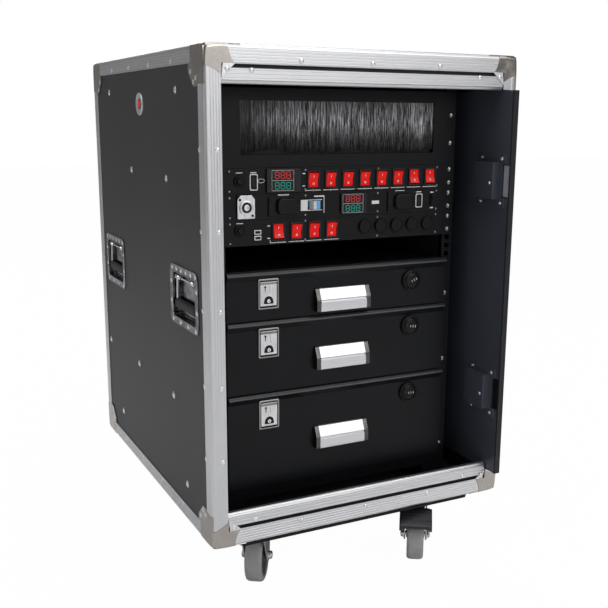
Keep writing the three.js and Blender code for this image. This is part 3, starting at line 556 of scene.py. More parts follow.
for sx in (-1, 1):
    places = [(y, z) for y in ALONG_EDGES for z in (821, 23)] + [*SIDE_TABS] + [(D - 26.5, z) for z in UP_EDGES]
    spots += [((sx * (W + 0.1), y, z), (sx, 0, 0)) for y, z in places]
    spots += [((sx * 281, D + 0.1, z), BACK) for z in (700, 600, 421, 240, 140) if sx < 0 or z != 421]
    spots += [((sx * 281, y, z), (0, 0, n)) for y in ALONG_EDGES for z, n in ((H + 0.1, 1), (-0.1, -1))]
spots += [((x, D + 0.1, z), BACK) for x in (-135, 0, 135) for z in (820, 23)]
spots += [((x, y, H + 0.1), (0, 0, 1)) for x in (-135, 0, 135) for y in (23, D - 23)]
put(rivets, pop_rivet(), [spot for spot in spots if spot[1][1]])
put(rivets, pop_rivet(4.4, 0.65), [spot for spot in spots if not spot[1][1]])
rivets.done()

# ---------------- panels, bolts and badge
for width, paint, names in (
        (0.8, LAMINATE, ("left_panel", "right_panel", "top_panel", "bottom_panel", "rear_door")),
        (0.8, PLASTIC, ("caster_board", "power_unit_1_reset", "power_unit_3_reset")),
        (0.3, ZINC, ("rear_hinge_leaf",)),
        (0.4, ZINC, ("rear_latch_wing_upper", "rear_latch_wing_lower")),
        (0.5, PAINT, ("rack_frame",)),
        (0.3, PAINT, ("brush_panel", "power_unit_1", "power_unit_2", "power_unit_3")),
        (0.4, POWDER, ["drawer_housing_" + str(i) for i in (1, 2, 3)]),
        (0.5, LINING_PAINTED_REFLECTION, ("pocket_door",)),
        (0.6, BLUE, ("power_unit_2_breaker",)),
        (0.7, RED_PAINTED_GLOW, [f"power_unit_{n}_rocker_{i + 1}" for n, count in ((1, 8), (3, 4)) for i in range(count)])):
    for name in names:
        dress(name, paint, width)

bolt = Shape("bolt", None)
bolt.lathe("z", 0, 0, [(7.6, -0.2), (7.6, 0.5), (7, 0.8), (5.2, 0.9)], 1, sides=24)
bolt.lathe("z", 0, 0, [(5.6, 0.6), (5.5, 1.4), (4.4, 2.2), (2.4, 2.6), (0, 2.7)], sides=24)
BOLTS = [(586, 778), (144, 775), (434, 627), (208, 624), (663, 228), (430, 228), (201, 224), (577, 80),
         (134, 72)]
bolts = Shape("panel_bolts", "case", STUD, NICKEL)
for sx in (-1, 1):
    put(bolts, bolt, [((sx * 299.9, y, z), (sx, 0, 0)) for y, z in BOLTS])
bolts.done()
badge = Shape("round_badge", "case", SATIN, RED_PAINTED_GLOW, PLASTIC)
for profile, paint, sides in (
        ([(0, -300.9), (14, -300.9), (17.5, -301.4), (19, -302.2), (20.4, -302.2), (21, -301.4), (21, -299.6),
          (0, -299.6)], 0, 48),
        ([(0, -301.3), (9.6, -301.2), (10, -300.8), (0, -300.6)], 2, 32),
        ([(0, -302), (6.8, -301.9), (7.6, -301.2), (0, -300.9)], 1, 32)):
    badge.lathe("x", 362, 753, profile, paint, sides)
badge.done()


# ---------------- handles
def handle(side, end, y):
    sx = -1 if side == "left" else 1
    turn = Matrix.Identity(4) if sx < 0 else Matrix.Rotation(math.pi, 4, "Z")
    where = (sx * W, y, 422)
    outer = lambda g: rounded(-75 + g, 75 - g, -54 + g, 54 - g, 15 - g)
    inner = lambda g: rounded(-59.5 - g, 59.5 + g, -40.5 - g, 38.5 + g, 7 + g)
    dish = Shape(f"dish_{side}_{end}", "case", DISH_PAINTED_REFLECTION, STUD, shift=where, turn=turn)
    dish.loft([level("x", line(g), t) for line, g, t in (
        (inner, -4, 12.3), (inner, -1, 11.6), (inner, 0, 10), (inner, 0, 1.2), (inner, 0.8, 0.5),
        (inner, 2.2, 0.35), (inner, 3.4, 0.75), (outer, 5, 0.75), (outer, 3.6, 0.35), (outer, 0.6, 0.35),
        (outer, 0, 0.9), (outer, 0, 1.9), (inner, 1.4, 1.9), (inner, 1.4, 13.2), (inner, -4, 13.6))])
    studs = [(a, 47) for a in (-62, -38, -13, 13, 38, 62)] + [(a, -47.5) for a in (-60, -20, 20, 60)]
    studs += [(a, b) for a in (-67.5, 67.5) for b in (22, -14)]
    knob = Shape("knob", None)
    knob.lathe("z", 0, 0, [(4.6, -0.3), (4.6, 0.15), (3.2, 0.7), (1.4, 0.8), (0, 0.8)], 1, sides=16)
    put(dish, knob, [((0.9, a, b), (-1, 0, 0)) for a, b in studs])
    for a in (-56, 56):
        dish.box(4, 10.6, a - 1.5, a + 1.5, 26.5, 33.5, 0.5, 1)
    dish.done(f"handle_dish_{side}_{end}", smooth=35)
    bail = Shape(f"bail_{side}_{end}", f"handle_{side}_{end}", RUBBER, CHROME, shift=where, turn=turn)
    section = rounded(1.4, 11.6, -25.8, -8.2, 4.6, 4)
    bail.loft([[(6.5 + (a - 6.5) * (1 - g / 5), t, -17 + (b + 17) * (1 - g / 9)) for a, b in section]
               for t, g in ((-52, 1.6), (-51, 0.3), (-49, 0), (-46, 0), (-45, 0.7), (-44, 0), (44, 0),
                            (45, 0.7), (46, 0), (49, 0), (51, 0.3), (52, 1.6))])
    for a in (-50, 50):
        bail.tube([(6.5, a, -12), (6.5, a, 0), (7, a, 18), (7, a, 30)], 2.5, 1, 12)
    bail.tube([(7, a, 30) for a in (-57, -30, 0, 30, 57)], 2.2, 1, 12)
    for a in (-44, 30):
        coil = [(7 + 3.5 * math.cos(k * math.pi / 5), a + k * 0.23, 30 + 3.5 * math.sin(k * math.pi / 5))
                for k in range(61)]
        bail.tube(coil, 0.75, 1, 6)
    bail.done(f"handle_bail_{side}_{end}", smooth=35)


for side in ("left", "right"):
    handle(side, "front", 126)
    handle(side, "rear", 592)


# ---------------- casters
CASTERS = {"front_left": (-201, 62, 213), "front_right": (153, 62, 33), "rear_left": (-201, 664, 200),
           "rear_right": (158, 664, 235)}
AXLE = (-35, -75)
FORK = ([(21, -9.5), (22, -14), (12, -24), (2, -38), (-7, -55), (-17, -72)] + arc(*AXLE, 12.5, 0, -180, 10)
        + [(-49, -66), (-50, -55), (-46, -38), (-41, -24), (-38, -14), (-36, -9.5)])
TYRE_LINE = [(39.5, -14), (40.5, -16), (44.5, -16.3), (47.6, -15), (49.4, -12), (49.95, -8)]
TYRE_LINE += [(50, 0)] + [(r, -w) for r, w in reversed(TYRE_LINE)]
HUB_LINE = [(5.6, -17.3), (9, -17.3), (9.6, -16.4), (14, -15.6), (15.5, -12), (18, -10.6), (31, -10.2),
            (34, -12.6), (39.8, -13.6)]
HUB_LINE += [(r, -w) for r, w in reversed(HUB_LINE)]

for name, (x, y, heading) in CASTERS.items():
    turn = Matrix.Rotation(-math.radians(heading), 4, "Z")
    fork = Shape("fork_" + name, "caster_" + name, ZINC, CHROME, PLASTIC, shift=(x, y, 0), turn=turn)
    for s in (-1, 1):
        fork.prism("x", FORK, *mirrored(s, 19.5, 22.3), 0.8)
        fork.lathe("x", *AXLE, [(0, s * 22), (9.6, s * 22), (9.6, s * 23.2), (7.5, s * 23.6)], 1, 24)
        fork.lathe("x", *AXLE, [(7.6, s * 23), (7.6, s * 27), (6.4, s * 28.6), (4.2, s * 28.6), (4, s * 29.4),
                                (0, s * 29.4)], 1, 6 if s > 0 else 24, 0.4)
    fork.box(-22.3, 22.3, -36, 20.5, -14.8, -11, 1.0)
    fork.lathe("z", 0, 0, [(0, -8.95), (28, -8.95), (28.8, -9.6), (28.8, -11.4), (26, -12.6), (22, -13),
                           (14, -17), (7, -19), (6.5, -21.5), (0, -22)], sides=40)
    fork.lathe("x", *AXLE, [(0, -22), (4.6, -22), (4.6, 22), (0, 22)], 1, 20)
    fork.done("caster_fork_" + name)
    wheel = Shape("wheel_" + name, "wheel_" + name, TYRE, HUB, CHROME, shift=(x, y, 0), turn=turn)
    wheel.lathe("x", *AXLE, TYRE_LINE, 0, 56, round_trip=True)
    wheel.lathe("x", *AXLE, HUB_LINE, 1, 40, round_trip=True)
    for s in (-1, 1):
        for a, b in circle(*AXLE, 24.5, 5):
            wheel.lathe("x", a, b, [(0, s * 9.8), (4.6, s * 9.8), (4.6, s * 11.6), (3.4, s * 12),
                                    (2.8, s * 10.6), (0, s * 10.4)], 1, 16)
        wheel.lathe("x", *AXLE, [(5.6, s * 17), (8, s * 17), (8, s * 18.2), (5.6, s * 18.4)], 2, 24)
    wheel.done("caster_wheel_" + name)

for name in ("front_left", "front_right"):
    x, y, heading = CASTERS[name]
    turn = Matrix.Rotation(-math.radians(heading), 4, "Z")
    brake = Shape("brake_" + name, "pedal_" + name, PEDAL, CHROME, shift=(x, y, 0), turn=turn)
    brake.box(-17.6, 17.6, -50, -19.5, -21, -17, 0.8)
    tread = [(-46, -15), (-60, -17), (-76, -23), (-90, -30.5), (-94, -34), (-95, -38), (-91, -40), (-60, -24),
             (-46, -21)]
    brake.prism("x", tread, -30, 27, 1.6)
    for k in range(4):
        a = -58 - k * 7.5
        top = -16.5 - max(0, (-60 - a)) * 0.42
        rib = [(a, top + 0.7), (a - 2.6, top - 0.5), (a - 2.6, top - 1.6), (a, top - 1.2)]
        brake.prism("x", rib, -27, 27, 0.3)
    for s in (-1, 1):
        brake.prism("x", [(-47, -16), (-80, -26), (-93, -34), (-92, -44), (-80, -40), (-58, -30), (-47, -25)],
                    *mirrored(s, 26, 31.4), 1.0)
    brake.done("brake_pedal_" + name)

NUT_LINE = [(0, -8.6), (6, -8.6), (6, -11.6), (5.4, -12.2), (0, -12.2)]
plates = Shape("caster_plates", "case", ZINC, CHROME)
for x, y, _ in CASTERS.values():
    plates.prism("z", rounded(x - 50, x + 50, y - 42, y + 42, 7), -8.65, -5.3, 0.5)
    for dx in (-39, 39):
        for dy in (-31, 31):
            plates.lathe("z", x + dx, y + dy, NUT_LINE, 1, 6, 0.3)
plates.done()

# ---------------- rack: screws, brush, marks
RACK = (RACK_X, 0, 0)
screws = Shape("rack_screws", "case", SCREW, PLASTIC, shift=RACK)
ear = [(s * EAR, unit(n)) for n in (0.97, 2.12) for s in (-1, 1)]
ear += [(s * EAR, unit(n + k)) for n in (3, 4, 5) for s in (-1, 1) for k in (0.22, 0.78)]
for start, count in DRAWERS:
    ear += [(s * EAR, unit(start + count - 0.4)) for s in (-1, 1)] + [(-EAR, unit(start + 0.4))]
put(screws, pan_screw(3.3, 1.8, 4.2), [((x, FACE, z), AHEAD) for x, z in ear])
tiny = Shape("tiny", None)
tiny.lathe("z", 0, 0, [(2.1, -0.2), (2.1, 0.4), (1.6, 0.9), (0.8, 1.0), (0, 0.8)], sides=14)
small = [((x, FACE, unit(n + k)), AHEAD) for n in (3, 4, 5) for k in (0.12, 0.88)
         for x in (-215, -72, 76, 205)]
minis = Shape("panel_screws", "case", NICKEL, shift=RACK)
put(minis, tiny, small)
minis.done()
for zc in (226, 626):
    for yy in (92, 112):
        put(screws, bolt, [((-261.8, yy, zc), (-1, 0, 0))])
screws.done()

brush = Shape("brush", "case", *PAINTED_SHEEN_HAIRS, PLASTIC, shift=RACK)
top = RACK_TOP - 13.5
brush.box(-206, 206, 87.6, 91, top - 15, top, 0.6, 4)
HAIR_COUNT = 3300
random.seed(3)
part = bmesh.new()
for k in range(HAIR_COUNT):
    x = random.uniform(-193.4, 193.4)
    lift = 0.5 + 0.5 * math.sin(x * 0.021 + 1.3) * math.sin(x * 0.057)
    length = HAIR - 22 * random.random() ** 2 - 8 * lift
    lean = random.gauss(0, 1.6)
    y = 83.0 + random.random() * 4.2
    kind = random.random()
    tone = 0 if kind < 0.45 else 1 if kind < 0.74 else 2 if kind < 0.94 else 3
    wide = random.uniform(0.17, 0.36)
    bow = random.gauss(0, 1.1)
    rows = []
    for i in range(5):
        t = i / 4
        cx = max(-193.6, min(193.6, x + lean * t * t + bow * math.sin(math.pi * t)))
        cy = min(87.4, max(82.7, y + 0.8 * math.sin(3 * t + x)))
        cz = top - 6 - length * t * 1.03
        w = wide * (1 - 0.55 * t)
        rows.append([part.verts.new(p) for p in ((cx - w, cy, cz), (cx, cy - 0.3, cz), (cx + w, cy, cz))])
    for a, b in zip(rows, rows[1:]):
        for i in (0, 1):
            f = part.faces.new((a[i], a[i + 1], b[i + 1], b[i]))
            f.material_index = tone
brush.take(mesh_from(part, "hairs"))
# Black sheet behind the bristles: painted shade where only the dark interior lies.
brush.box(-193, 193, 87.8, 88.2, top - 98, top - 14, 0, 4)
brush.done("brush_strip", smooth=80)

# ---------------- rack: instruments
digits = Shape("meters", "case", GREY, GLASS, LED_RED, LED_GREEN, DIM, shift=RACK)


def seven(cx, cz, y, w, h, paint):
    """One figure of a meter, with all its seven bars lit."""
    t = 0.9
    for z in (h, 0, -h):
        digits.box(cx - w + t, cx + w - t, y - 0.15, y + 0.1, cz + z - t / 2, cz + z + t / 2, 0, paint)
    for sx in (-1, 1):
        for z0, z1 in ((t * 0.6, h - t * 0.6), (-h + t * 0.6, -t * 0.6)):
            digits.box(cx + sx * w - t / 2, cx + sx * w + t / 2, y - 0.15, y + 0.1, cz + z0, cz + z1, 0, paint)


def meter(cx, cz, w, h, bezel, y):
    bw, bh = bezel
    if bw > w + 3:
        rim = rounded(cx - bw / 2, cx + bw / 2, cz - bh / 2, cz + bh / 2, 1.5, 2)
        window = rounded(cx - w / 2, cx + w / 2, cz - h / 2, cz + h / 2, 1.0, 2)
        steps = ((rim, 0.5), (rim, -0.6), (window, -0.6), (window, 0.5))
        digits.loft([level("y", line, y + t) for line, t in steps], cap=False)
    else:
        digits.box(cx - bw / 2, cx + bw / 2, y - 0.4, y + 0.4, cz - bh / 2, cz + bh / 2, 0.3, 1)
    digits.box(cx - w / 2, cx + w / 2, y - 0.3, y + 0.3, cz - h / 2, cz + h / 2, 0.2, 1)
    for line in (h / 2 - 0.6, 0, -h / 2 + 0.6):
        digits.box(cx - w / 2, cx + w / 2 - 4, y - 0.42, y - 0.2, cz + line - 0.35, cz + line + 0.35, 0, 4)
    for sx in (-w / 2 + 0.3, w / 2 - 4.2):
        digits.box(cx + sx - 0.3, cx + sx + 0.3, y - 0.42, y - 0.2, cz - h / 2 + 0.4, cz + h / 2 - 0.4, 0, 4)
    for row, paint in ((h * 0.25, 2), (-h * 0.25, 3)):
        for k in (-1, 0, 1):
            seven(cx - 2 + k * w * 0.235, cz + row, y - 0.32, w * 0.078, h * 0.155, paint)


z1, z2, z3 = unit(3.5), unit(4.5), unit(5.5)  # middles of the three power units
PIVOT_Y, TILT = 84, 8  # the rockers' axes, and how far they lean at rest
ROCKERS = {1: ([-57 + 35 * i for i in range(8)], z1), 3: ([-124.5 + 35 * i for i in range(4)], z3)}
meter(-115.5, z1, 46, 36, (64, 40), 76)
meter(23.7, z2, 46, 34, (52, 36), 76)
digits.done()

fittings = Shape("unit_fittings", "case", PLASTIC, GREY, CHROME, WHITE, SATIN, shift=RACK)
for bz in (z1, z3 + 5):
    fittings.lathe("y", -197, bz, ((9.9, 80), (9.9, 77.4), (9, 76.6), (7.4, 76.5), (6.3, 77.4), (6.3, 80)),
                   round_trip=True)
for ux, uz, w, h in ((-170.7, z1 - 2, 15, 28), (165, z2, 15, 26)):
    for inset, r, y0, y1, soft, paint in ((0, 2.5, 78.6, 80.2, 0.3, 3), (1.7, 1.8, 78.3, 79.2, 0.2, 0)):
        a, b = w / 2 - inset, h / 2 - inset
        fittings.prism("y", rounded(ux - a, ux + a, uz - b, uz + b, r, 3), y0, y1, soft, paint)
    fittings.box(ux - 2.4, ux + 1.0, 77.9, 79, uz - 7, uz + 7, 0.2, 1)
ix, iz = -186.4, z2 + 1
plate_line = [(-15, -20), (15, -20), (16, -19), (16, 13), (10, 20), (-10, 20), (-16, 13), (-16, -19)]
fittings.prism("y", [(ix + a, iz + b) for a, b in plate_line], 75.2, 77, 0.5, 4)
INLET_RIM = ((12.4, 75.4), (12.4, 73), (11.6, 72.4), (9.6, 72.4), (9, 73), (9, 75.4))
INLET_CORE = ((5.4, 74.8), (5.2, 72.6), (4.6, 72.2), (3, 72.2), (2.6, 73.4), (0, 73.4))
fittings.lathe("y", ix, iz - 1, INLET_RIM, 4, 36, round_trip=True)
fittings.lathe("y", ix, iz - 1, [(9.1, 75), (9.1, 74.6), (0, 74.6)], 1, 28)
fittings.lathe("y", ix, iz - 1, INLET_CORE, 4, 28)
fittings.box(ix - 3, ix + 3, 74.6, 75.1, iz + 4, iz + 8.6, 0.2)
for sx, sz in ((-11.5, 12.5), (11.5, -15)):
    fittings.lathe("y", ix + sx, iz + sz, [(2.4, 75.4), (2.2, 74.6), (0, 74.5)], 0, 14)
for ox, w in ((-113.8, 60), (124.4, 56)):
    fittings.prism("y", rounded(ox - w / 2, ox + w / 2, z2 - 17, z2 + 17, 8), 76.4, 77.4, 0.5, 0)
    flap = rounded(ox - 16, ox + 24, z2 - 14, z2 + 14, 9)
    fittings.loft([[(ox + 4 + (a - ox - 4) * s, y, z2 + (b - z2) * s) for a, b in flap]
                   for y, s in ((77, 1.04), (72, 1.0), (69.5, 0.94), (68.6, 0.82))])
    for sx in (-1, 1):
        fittings.lathe("y", ox + sx * (w / 2 - 3.5), z2, ((1.9, 76.6), (1.7, 76), (0.8, 75.8), (0, 76.1)), 1,
                       14)
fittings.box(-83.3, -69.6, 75.2, 78, z2 - 9.6, z2 + 9.6, 0.4, 3)
for dz in (-9.1, 9.1):
    fittings.box(-70, -41.4, 75.2, 78, z2 + dz - 0.7, z2 + dz + 0.7, 0.3, 3)
fittings.box(-45.5, -41.3, 75.3, 78, z2 - 9.6, z2 + 9.6, 0.3, 0)
fittings.box(191, 199, 75.2, 78, z2 - 11, z2 + 11, 0.4, 0)
fittings.box(192.4, 197.6, 73.6, 76, z2 - 1, z2 + 9, 0.5, 0)
for dz in (-9, 1):
    fittings.box(-170.8, -157.8, 77.9, 79.4, z3 + dz - 3.8, z3 + dz + 3.8, 0.4, 4)
    fittings.box(-169.3, -159.3, 77.7, 78.4, z3 + dz - 2.4, z3 + dz + 2.4, 0.3, 0)
SOCKET = ((13.2, 80), (13.2, 75.8), (12.6, 75.2), (10.8, 75.2), (10.2, 76.1), (10.2, 76.6))
for i in range(5):
    fittings.lathe("y", 49.5 + 34 * i, z3 + 1, SOCKET)
fittings.done()

frames = Shape("rocker_frames", "case", GREY, shift=RACK)
for xs, z in ROCKERS.values():
    for x in xs:
        outer = [rounded(x - 12.2 + g, x + 12.2 - g, z - 15.7 + g, z + 15.7 - g, 1.2, 2) for g in (0, 0, 0.5)]
        inner = [rounded(x - 9.6 - g, x + 9.6 + g, z - 13.6 - g, z + 13.6 + g, 0.5, 2) for g in (0.4, 0, 0)]
        frames.loft([level("y", line, y) for line, y in zip(outer + inner, (80, 77.5, 77.1, 77.1, 77.5, 80))],
                    cap=False)
frames.done()

marks = Shape("printed_marks", "case", INK, shift=RACK)


def dash(x0, x1, z0, z1, y=79.85):
    marks.box(x0, x1, y, y + 0.12, z0, z1, 0)


for row, (xs, z) in ROCKERS.items():
    for x in xs:
        dash(x - 15, x - 1.8, z - 19.4, z - 18.3)
        dash(x + 1.8, x + 15, z - 19.4, z - 18.3)
        dash(x - 0.7, x + 0.7, z - 20.3, z - 17.4)
    dash(xs[0] - 16.2, xs[0] - 15, z - 19.4, z - 14.8)
    dash(xs[0] - 21, xs[0] - 15.6, z + 10, z + 11.6)
    dash(xs[0] - 21, xs[0] - 15.6, z - 11.6, z - 10)
    dash(-203, -191, z + 13.6 + (row == 3) * 3, z + 15 + (row == 3) * 3)
for ux, uz in ((-170.7, z1 - 2), (165, z2)):
    dash(ux - 5.5, ux + 5.5, uz + 15.4, uz + 17)
marks.loft([[(-156.5 + (r + 2) * c, 79.85, z1 + r * 0.8 * s) for c, s in circle(0, 0, 1, 24)]
            for r in (4.6, 3.7)], cap=False)
face = Shape("breaker_face", "power_unit_2_breaker", WHITE, shift=(RACK_X - 57.5, PIVOT_Y, z2),
             turn=Matrix.Rotation(math.radians(18), 4, "Z"))
face.box(-8.75, -2.2, -14.25, -3, -7.3, 7.3, 0.3)
face.done()
dash(-55, -34.7, z2 + 13.6, z2 + 16)
dash(-35.7, -34.5, z2 - 15, z2 + 13.6)
dash(63.5, 78.5, z2 - 3, z2 + 3)
dash(-125, -104, z2 + 18.2, z2 + 20.4)
dash(113, 133, z2 + 18.2, z2 + 20.4)
dash(191, 198, z2 + 13.4, z2 + 15.6)
dash(191, 198, z2 - 15.6, z2 - 13.4)
marks.done()

# Symbols on the rocker keys: a bar on the upper half and a ring on the lower half.
slope = math.atan2(2.0, 12.3)
for row, (xs, z) in ROCKERS.items():
    for i, x in enumerate(xs):
        flipped = i >= 6 if row == 1 else i == 0
        key = Shape(f"symbols_{row}_{i + 1}", f"power_unit_{row}_rocker_{i + 1}", INK,
                    shift=(RACK_X + x, PIVOT_Y, z),
                    turn=Matrix.Rotation(math.radians(-TILT if flipped else TILT), 4, "X"))
        bar = Shape("bar", None).box(-0.5, 0.5, -0.12, 0.1, -2.0, 2.0, 0)
        loop = Shape("loop", None).lathe("y", 0, 0, ((1.9, 0.1), (1.9, -0.12), (1.1, -0.12), (1.1, 0.1)), 0, 20,
                                         round_trip=True)
        for sign, mark, height in ((1, bar, 6.2), (-1, loop, -6.4)):
            key.stamp(mark, Matrix.Translation((0, -5.5 - abs(height) * math.tan(slope), height))
                      @ Matrix.Rotation(sign * slope, 4, "X"))
        key.done()

# ---------------- drawers
LATCH_X, LOCK_X = -147.5, 148.5
for i, (start, count) in enumerate(DRAWERS, 1):
    z0, lid = unit(start + count) + 1.2, unit(start) - 1.2
    body = "drawer_" + str(i)
    d = Shape("drawer_front_" + str(i), body, POWDER, LIP_PAINTED_LIGHT, shift=RACK)
    d.prism("x", [(79.6, z0), (74, z0), (74, lid - 16), (67.5, lid - 6.4), (67.2, lid - 5), (68, lid - 3),
                  (71, lid - 0.4), (79.6, lid - 0.4)], -226, 226, 0.4)
    # The lip's upward face uses the lighter copy: painted light from above.
    d.prism("x", [(67.3, lid - 6), (66.9, lid - 5), (67.7, lid - 2.8), (70.6, lid), (79.6, lid),
                  (79.6, lid - 1.2), (71.4, lid - 1.2), (68.6, lid - 3.6)], -226, 226, 0.25, 1)
    t0, t1 = z0 + 4, lid - 10
    d.box(-208, 208, 77, 510, t0, t0 + 1.5, 0.3)
    zm = (z0 + lid) / 2
    for s in (-1, 1):
        d.box(*mirrored(s, 206.5, 208), 77, 510, t0, t1, 0.5)
        d.box(*mirrored(s, 207.5, 214), 92, 510, zm - 8, zm + 8, 0.6)
    d.box(-208, 208, 508.5, 510, t0, t1, 0.5)
    d.done(body)
    zc = unit(start + count / 2) - 21 + 2.7 * count
    pull = Shape("pull_" + str(i), body, PULL, CAP, shift=(RACK_X - 1, 0, zc))
    skin = [(74, 20.6), (71, 20.6), (70.2, 20.1), (66.1, 11), (62.2, 2.6), (61.9, 1.3), (63, -0.2), (63, -1.4),
            (61.5, -3), (61, -6), (61, -17.6), (61.5, -20.3), (62.3, -20.9), (63.2, -20.3), (63.5, -18.8),
            (63.5, -6), (64.3, -3), (65.7, -1.6), (64.9, 0.5), (68.5, 9.2), (72, 16.8), (74, 17.3)]
    pull.prism("x", skin, -47.6, 47.6, 0)
    cap = [(74, 21), (70.8, 21), (69.8, 20.5), (61.6, 2.8), (60.9, -3), (60.9, -18.4), (61.6, -20.8), (74, -21)]
    for s in (-1, 1):
        pull.prism("x", cap, *mirrored(s, 46.8, 55.5), 0.7, 1)
    pull.done(smooth=24)
    lz = unit(start) - 14 - 27
    frame_piece = Shape("latch_frame_" + str(i), body, NICKEL, PLASTIC, shift=(RACK_X + LATCH_X, 0, lz))
    ring = [rounded(-19.75 + g, 19.75 - g, -27 + g, 27 - g, 2.2, 3) for g in (0, 0, 0.8, 2.6, 3.3)]
    frame_piece.loft([level("y", line, y) for line, y in zip(ring, (74.2, 71.6, 71, 71.3, 74.2))], cap=False)
    frame_piece.box(-16.6, 16.6, 77.6, 78.4, -23.3, 23.3, 0, 1)
    frame_piece.done(smooth=50)
    pin = lz + 23.25 - 2.6
    pad = Shape("paddle_" + str(i), "drawer_latch_" + str(i), SATIN, PLASTIC, STUD, NICKEL,
                shift=(RACK_X + LATCH_X, 0, 0))
    bottom = pin - 46.5 + 4.4
    pad.box(-15.7, 15.7, 71.5, 74.1, bottom, pin - 4.5, 0.5)
    pad.lathe("x", 72.8, pin, [(0, -16), (1.8, -16), (1.8, 16), (0, 16)], 3, 16)
    pad.prism("x", [(71.6, pin - 6), (74, pin - 6), (74, pin + 1), (72.4, pin + 1.6)], -15.5, 15.5, 0.3, 3)
    keyhole = arc(0, bottom + 9, 8.4, 0, 180, 14) + [(-8.4, bottom + 3.6), (8.4, bottom + 3.6)]
    pad.prism("y", keyhole, 71.3, 71.7, 0.1, 1)
    pad.lathe("y", 0, bottom + 8.6, [(3.4, 71.6), (3.4, 70.6), (2.8, 70.2), (0, 70.2)], 2, 24)
    pad.box(-0.5, 0.5, 69.95, 70.4, bottom + 6.6, bottom + 10.6, 0, 1)
    pad.prism("y", arc(-6.6, bottom + 34, 1.9, 0, 360, 14)[:-1], 71.3, 71.7, 0, 1)
    pad.prism("y", [(-7.5, bottom + 32.5), (-5.7, bottom + 32.5), (-6.1, bottom + 25), (-7.1, bottom + 25)],
              71.3, 71.7, 0, 1)
    pad.box(2.2, 2.9, 71.3, 71.7, bottom + 23, bottom + 35.5, 0, 3)
    pad.box(-9, 9, 71, 76.1, bottom + 4.2, bottom + 8.6, 0.3, 1)
    pad.done("drawer_latch_" + str(i))
    lock = Shape("lock_" + str(i), body, PLASTIC, GREY, WHITE, shift=(RACK_X + LOCK_X, 0, unit(start) - 38.6),
                 turn=Matrix.Rotation(math.radians((-24, 6, 0)[i - 1]), 4, "Y"))
    lock.lathe("y", 0, 0, [(19.9, 74.4), (19.9, 71), (19, 69.4), (17.4, 68.8), (16.6, 68.8), (16.2, 69.2),
                           (15.2, 67.4), (13, 66), (9, 65.3), (0, 65.2)], 0, 44)
    for k in (-1, 0, 1):
        lock.box(k * 5.2 - 1.4 + 3, k * 5.2 + 1.4 + 3, 64.95, 66, -3.4, 3.4, 0.2, 1)
        lock.box(k * 5.2 - 0.55 + 3, k * 5.2 + 0.55 + 3, 64.8, 65.4, -2.0, 2.0, 0, 2)
    lock.lathe("y", -9, 1.5, [(2.6, 66.4), (2.4, 65.2), (1.2, 64.9), (0, 65.1)], 1, 16)
    lock.done()

# ---------------- pocket door
door = Shape("door_fittings", "pocket_door", STUD, PLASTIC, NOTCH_PAINTED_LIGHT, GREY)
door.prism("z", [(275.2, -25), (275.2, -28.6), (276.4, -29.2), (279, -28.2), (287.2, -28.2), (287.2, -25)],
           47.6, 781.9, 0.2, 3)
for z in (208.5, 618.5):
    for y in (-4.5, 55):
        for dz in (-41, 41):
            door.stamp(pop_rivet(3.3, 1.4), facing((273.7, y, z + dz), (-1, 0, 0)))
    door.lathe("x", 12, z - 4, [(3.4, 260.6), (3.4, 259.4), (2, 258.4), (0, 258.6)], 0, 16)
    door.box(282.6, 283.9, -24.4, -5.1, z - 30.9, z + 30.9, 0, 1)
    # The upper notch is painted pale as light through the slot, the lower one black as its shade.
    door.box(278.2, 283, -22.6, -6.6, z - 29, z + 29, 0.4, 2 if z > 400 else 1)
door.done()

# ---------------- back door fittings
rear = Shape("rear_latch_dishes", "rear_door", SATIN, CHROME)
for z in (H / 2 - 106, H / 2 + 106):
    rear.loft([[(a - 241, y, b + z) for a, b in rounded(-28 + g, 28 - g, -50 + g, 50 - g, 6 - g * 0.5, 4)]
               for g, y in ((0, 717.4), (0, 719.3), (1, 719.6), (3.2, 719.6), (4.4, 718.9), (6, 718.9))])
    for dx, dz in ((-21, 43), (21, 43), (-21, -43), (21, -43)):
        rear.stamp(pop_rivet(2.8, 0.9), facing((-241 + dx, 719, z + dz), BACK))
rear.done()

# ---------------- floor, light, camera
part = bmesh.new()
bmesh.ops.create_grid(part, x_segments=2, y_segments=2, size=14)
mesh = mesh_from(part, "floor")
floor = bpy.data.objects.new("floor", mesh)
ground = material("floor", (0.9, 0.9, 0.9), 0.7, 0, 0.01, 3, rough_spread=0.05)
mesh.materials.append(ground)
tree = ground.node_tree
share = reckon(tree, "MULTIPLY", new_node(tree, "LightPath").outputs["Is Camera Ray"], 0.985)
shine = new_node(tree, "Emission", Color=(1, 1, 1, 1), Strength=1.0)
matt = tree.nodes["Principled BSDF"].outputs[0]
both = wire(tree, new_node(tree, "MixShader"), share, matt, shine.outputs[0])
tree.links.new(both, tree.nodes["Material Output"].inputs["Surface"])
bpy.context.scene.collection.objects.link(floor)

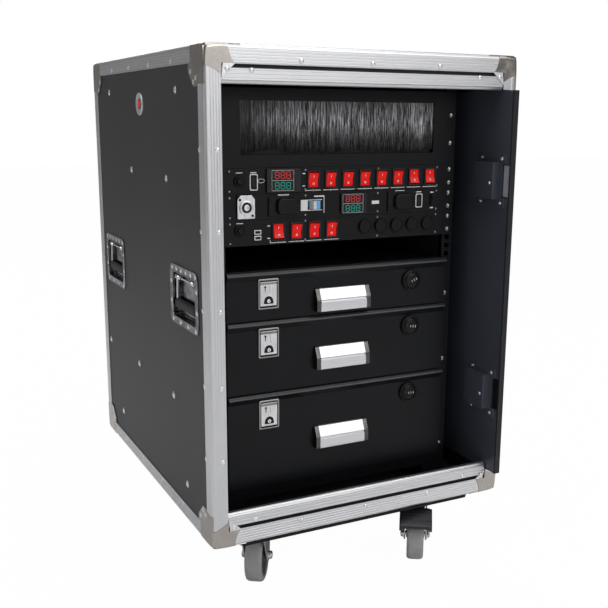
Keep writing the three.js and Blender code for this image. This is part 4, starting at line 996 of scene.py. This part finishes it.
world = bpy.data.worlds.new("studio")
bpy.context.scene.world = world
world.use_nodes = True
tree = world.node_tree
toward = new_node(tree, "VectorMath", operation="DOT_PRODUCT")
wire(tree, toward, new_node(tree, "TexCoord").outputs["Generated"], Vector((0.16, -1.0, 0.12)).normalized())
soft_box = new_node(tree, "MapRange", interpolation_type="SMOOTHSTEP")
glare = wire(tree, soft_box, toward.outputs["Value"], 0.88, 0.975, 0.21, 1.12)
seen = new_node(tree, "LightPath").outputs["Is Camera Ray"]
tree.links.new(blend(tree, "MIX", seen, glare, (1, 1, 1, 1)), tree.nodes["Background"].inputs["Color"])


def area(name, at, look, size, power, colour=(1, 1, 1)):
    light = bpy.data.lights.new(name, "AREA")
    light.shape, light.energy, light.color = "RECTANGLE", power, colour
    light.size, light.size_y = size
    lamp = bpy.data.objects.new(name, light)
    lamp.location = at
    lamp.rotation_mode = "QUATERNION"
    lamp.rotation_quaternion = (Vector(look) - Vector(at)).to_track_quat("-Z", "Y")
    bpy.context.scene.collection.objects.link(lamp)


area("key", (1.6, -3.6, 2.6), (0.5, -0.9, 0.0), (2.6, 2.2), 44)
area("top", (0.2, -0.4, 3.4), (0, 0, 0.4), (3.0, 3.0), 52)
area("left", (-3.4, -0.4, 2.5), (0, 0, 0.5), (1.6, 2.0), 26, (0.97, 0.98, 1))
area("back", (1.0, 3.4, 2.2), (0, 0, 0.5), (2.6, 2.0), 40)

view = bpy.context.scene.view_settings
view.view_transform, view.look = "Standard", "None"

cam_data = bpy.data.cameras.new("camera")
cam = bpy.data.objects.new("camera", cam_data)
bpy.context.scene.collection.objects.link(cam)
PHOTO = 608  # pixels across the photo
yaw, pitch, roll, focal = 0.475704, -0.2206858, 0.0079609, 899.895
forward = Vector((math.sin(yaw) * math.cos(pitch), math.cos(yaw) * math.cos(pitch), math.sin(pitch)))
right = Vector((math.cos(yaw), -math.sin(yaw), 0))
up = right.cross(forward)
right, up = right * math.cos(roll) + up * math.sin(roll), up * math.cos(roll) - right * math.sin(roll)
cam.matrix_world = Matrix.Translation(TO_ROW @ Vector((-787.478, -1353.834, 733.808))) @ Matrix(
    (right, up, -forward)).transposed().to_4x4()
cam_data.sensor_width, cam_data.lens = 36, 36 * focal / PHOTO
cam_data.shift_x, cam_data.shift_y = -20.379 / PHOTO, 13.876 / PHOTO
cam_data.clip_end = 60
bpy.context.scene.camera = cam
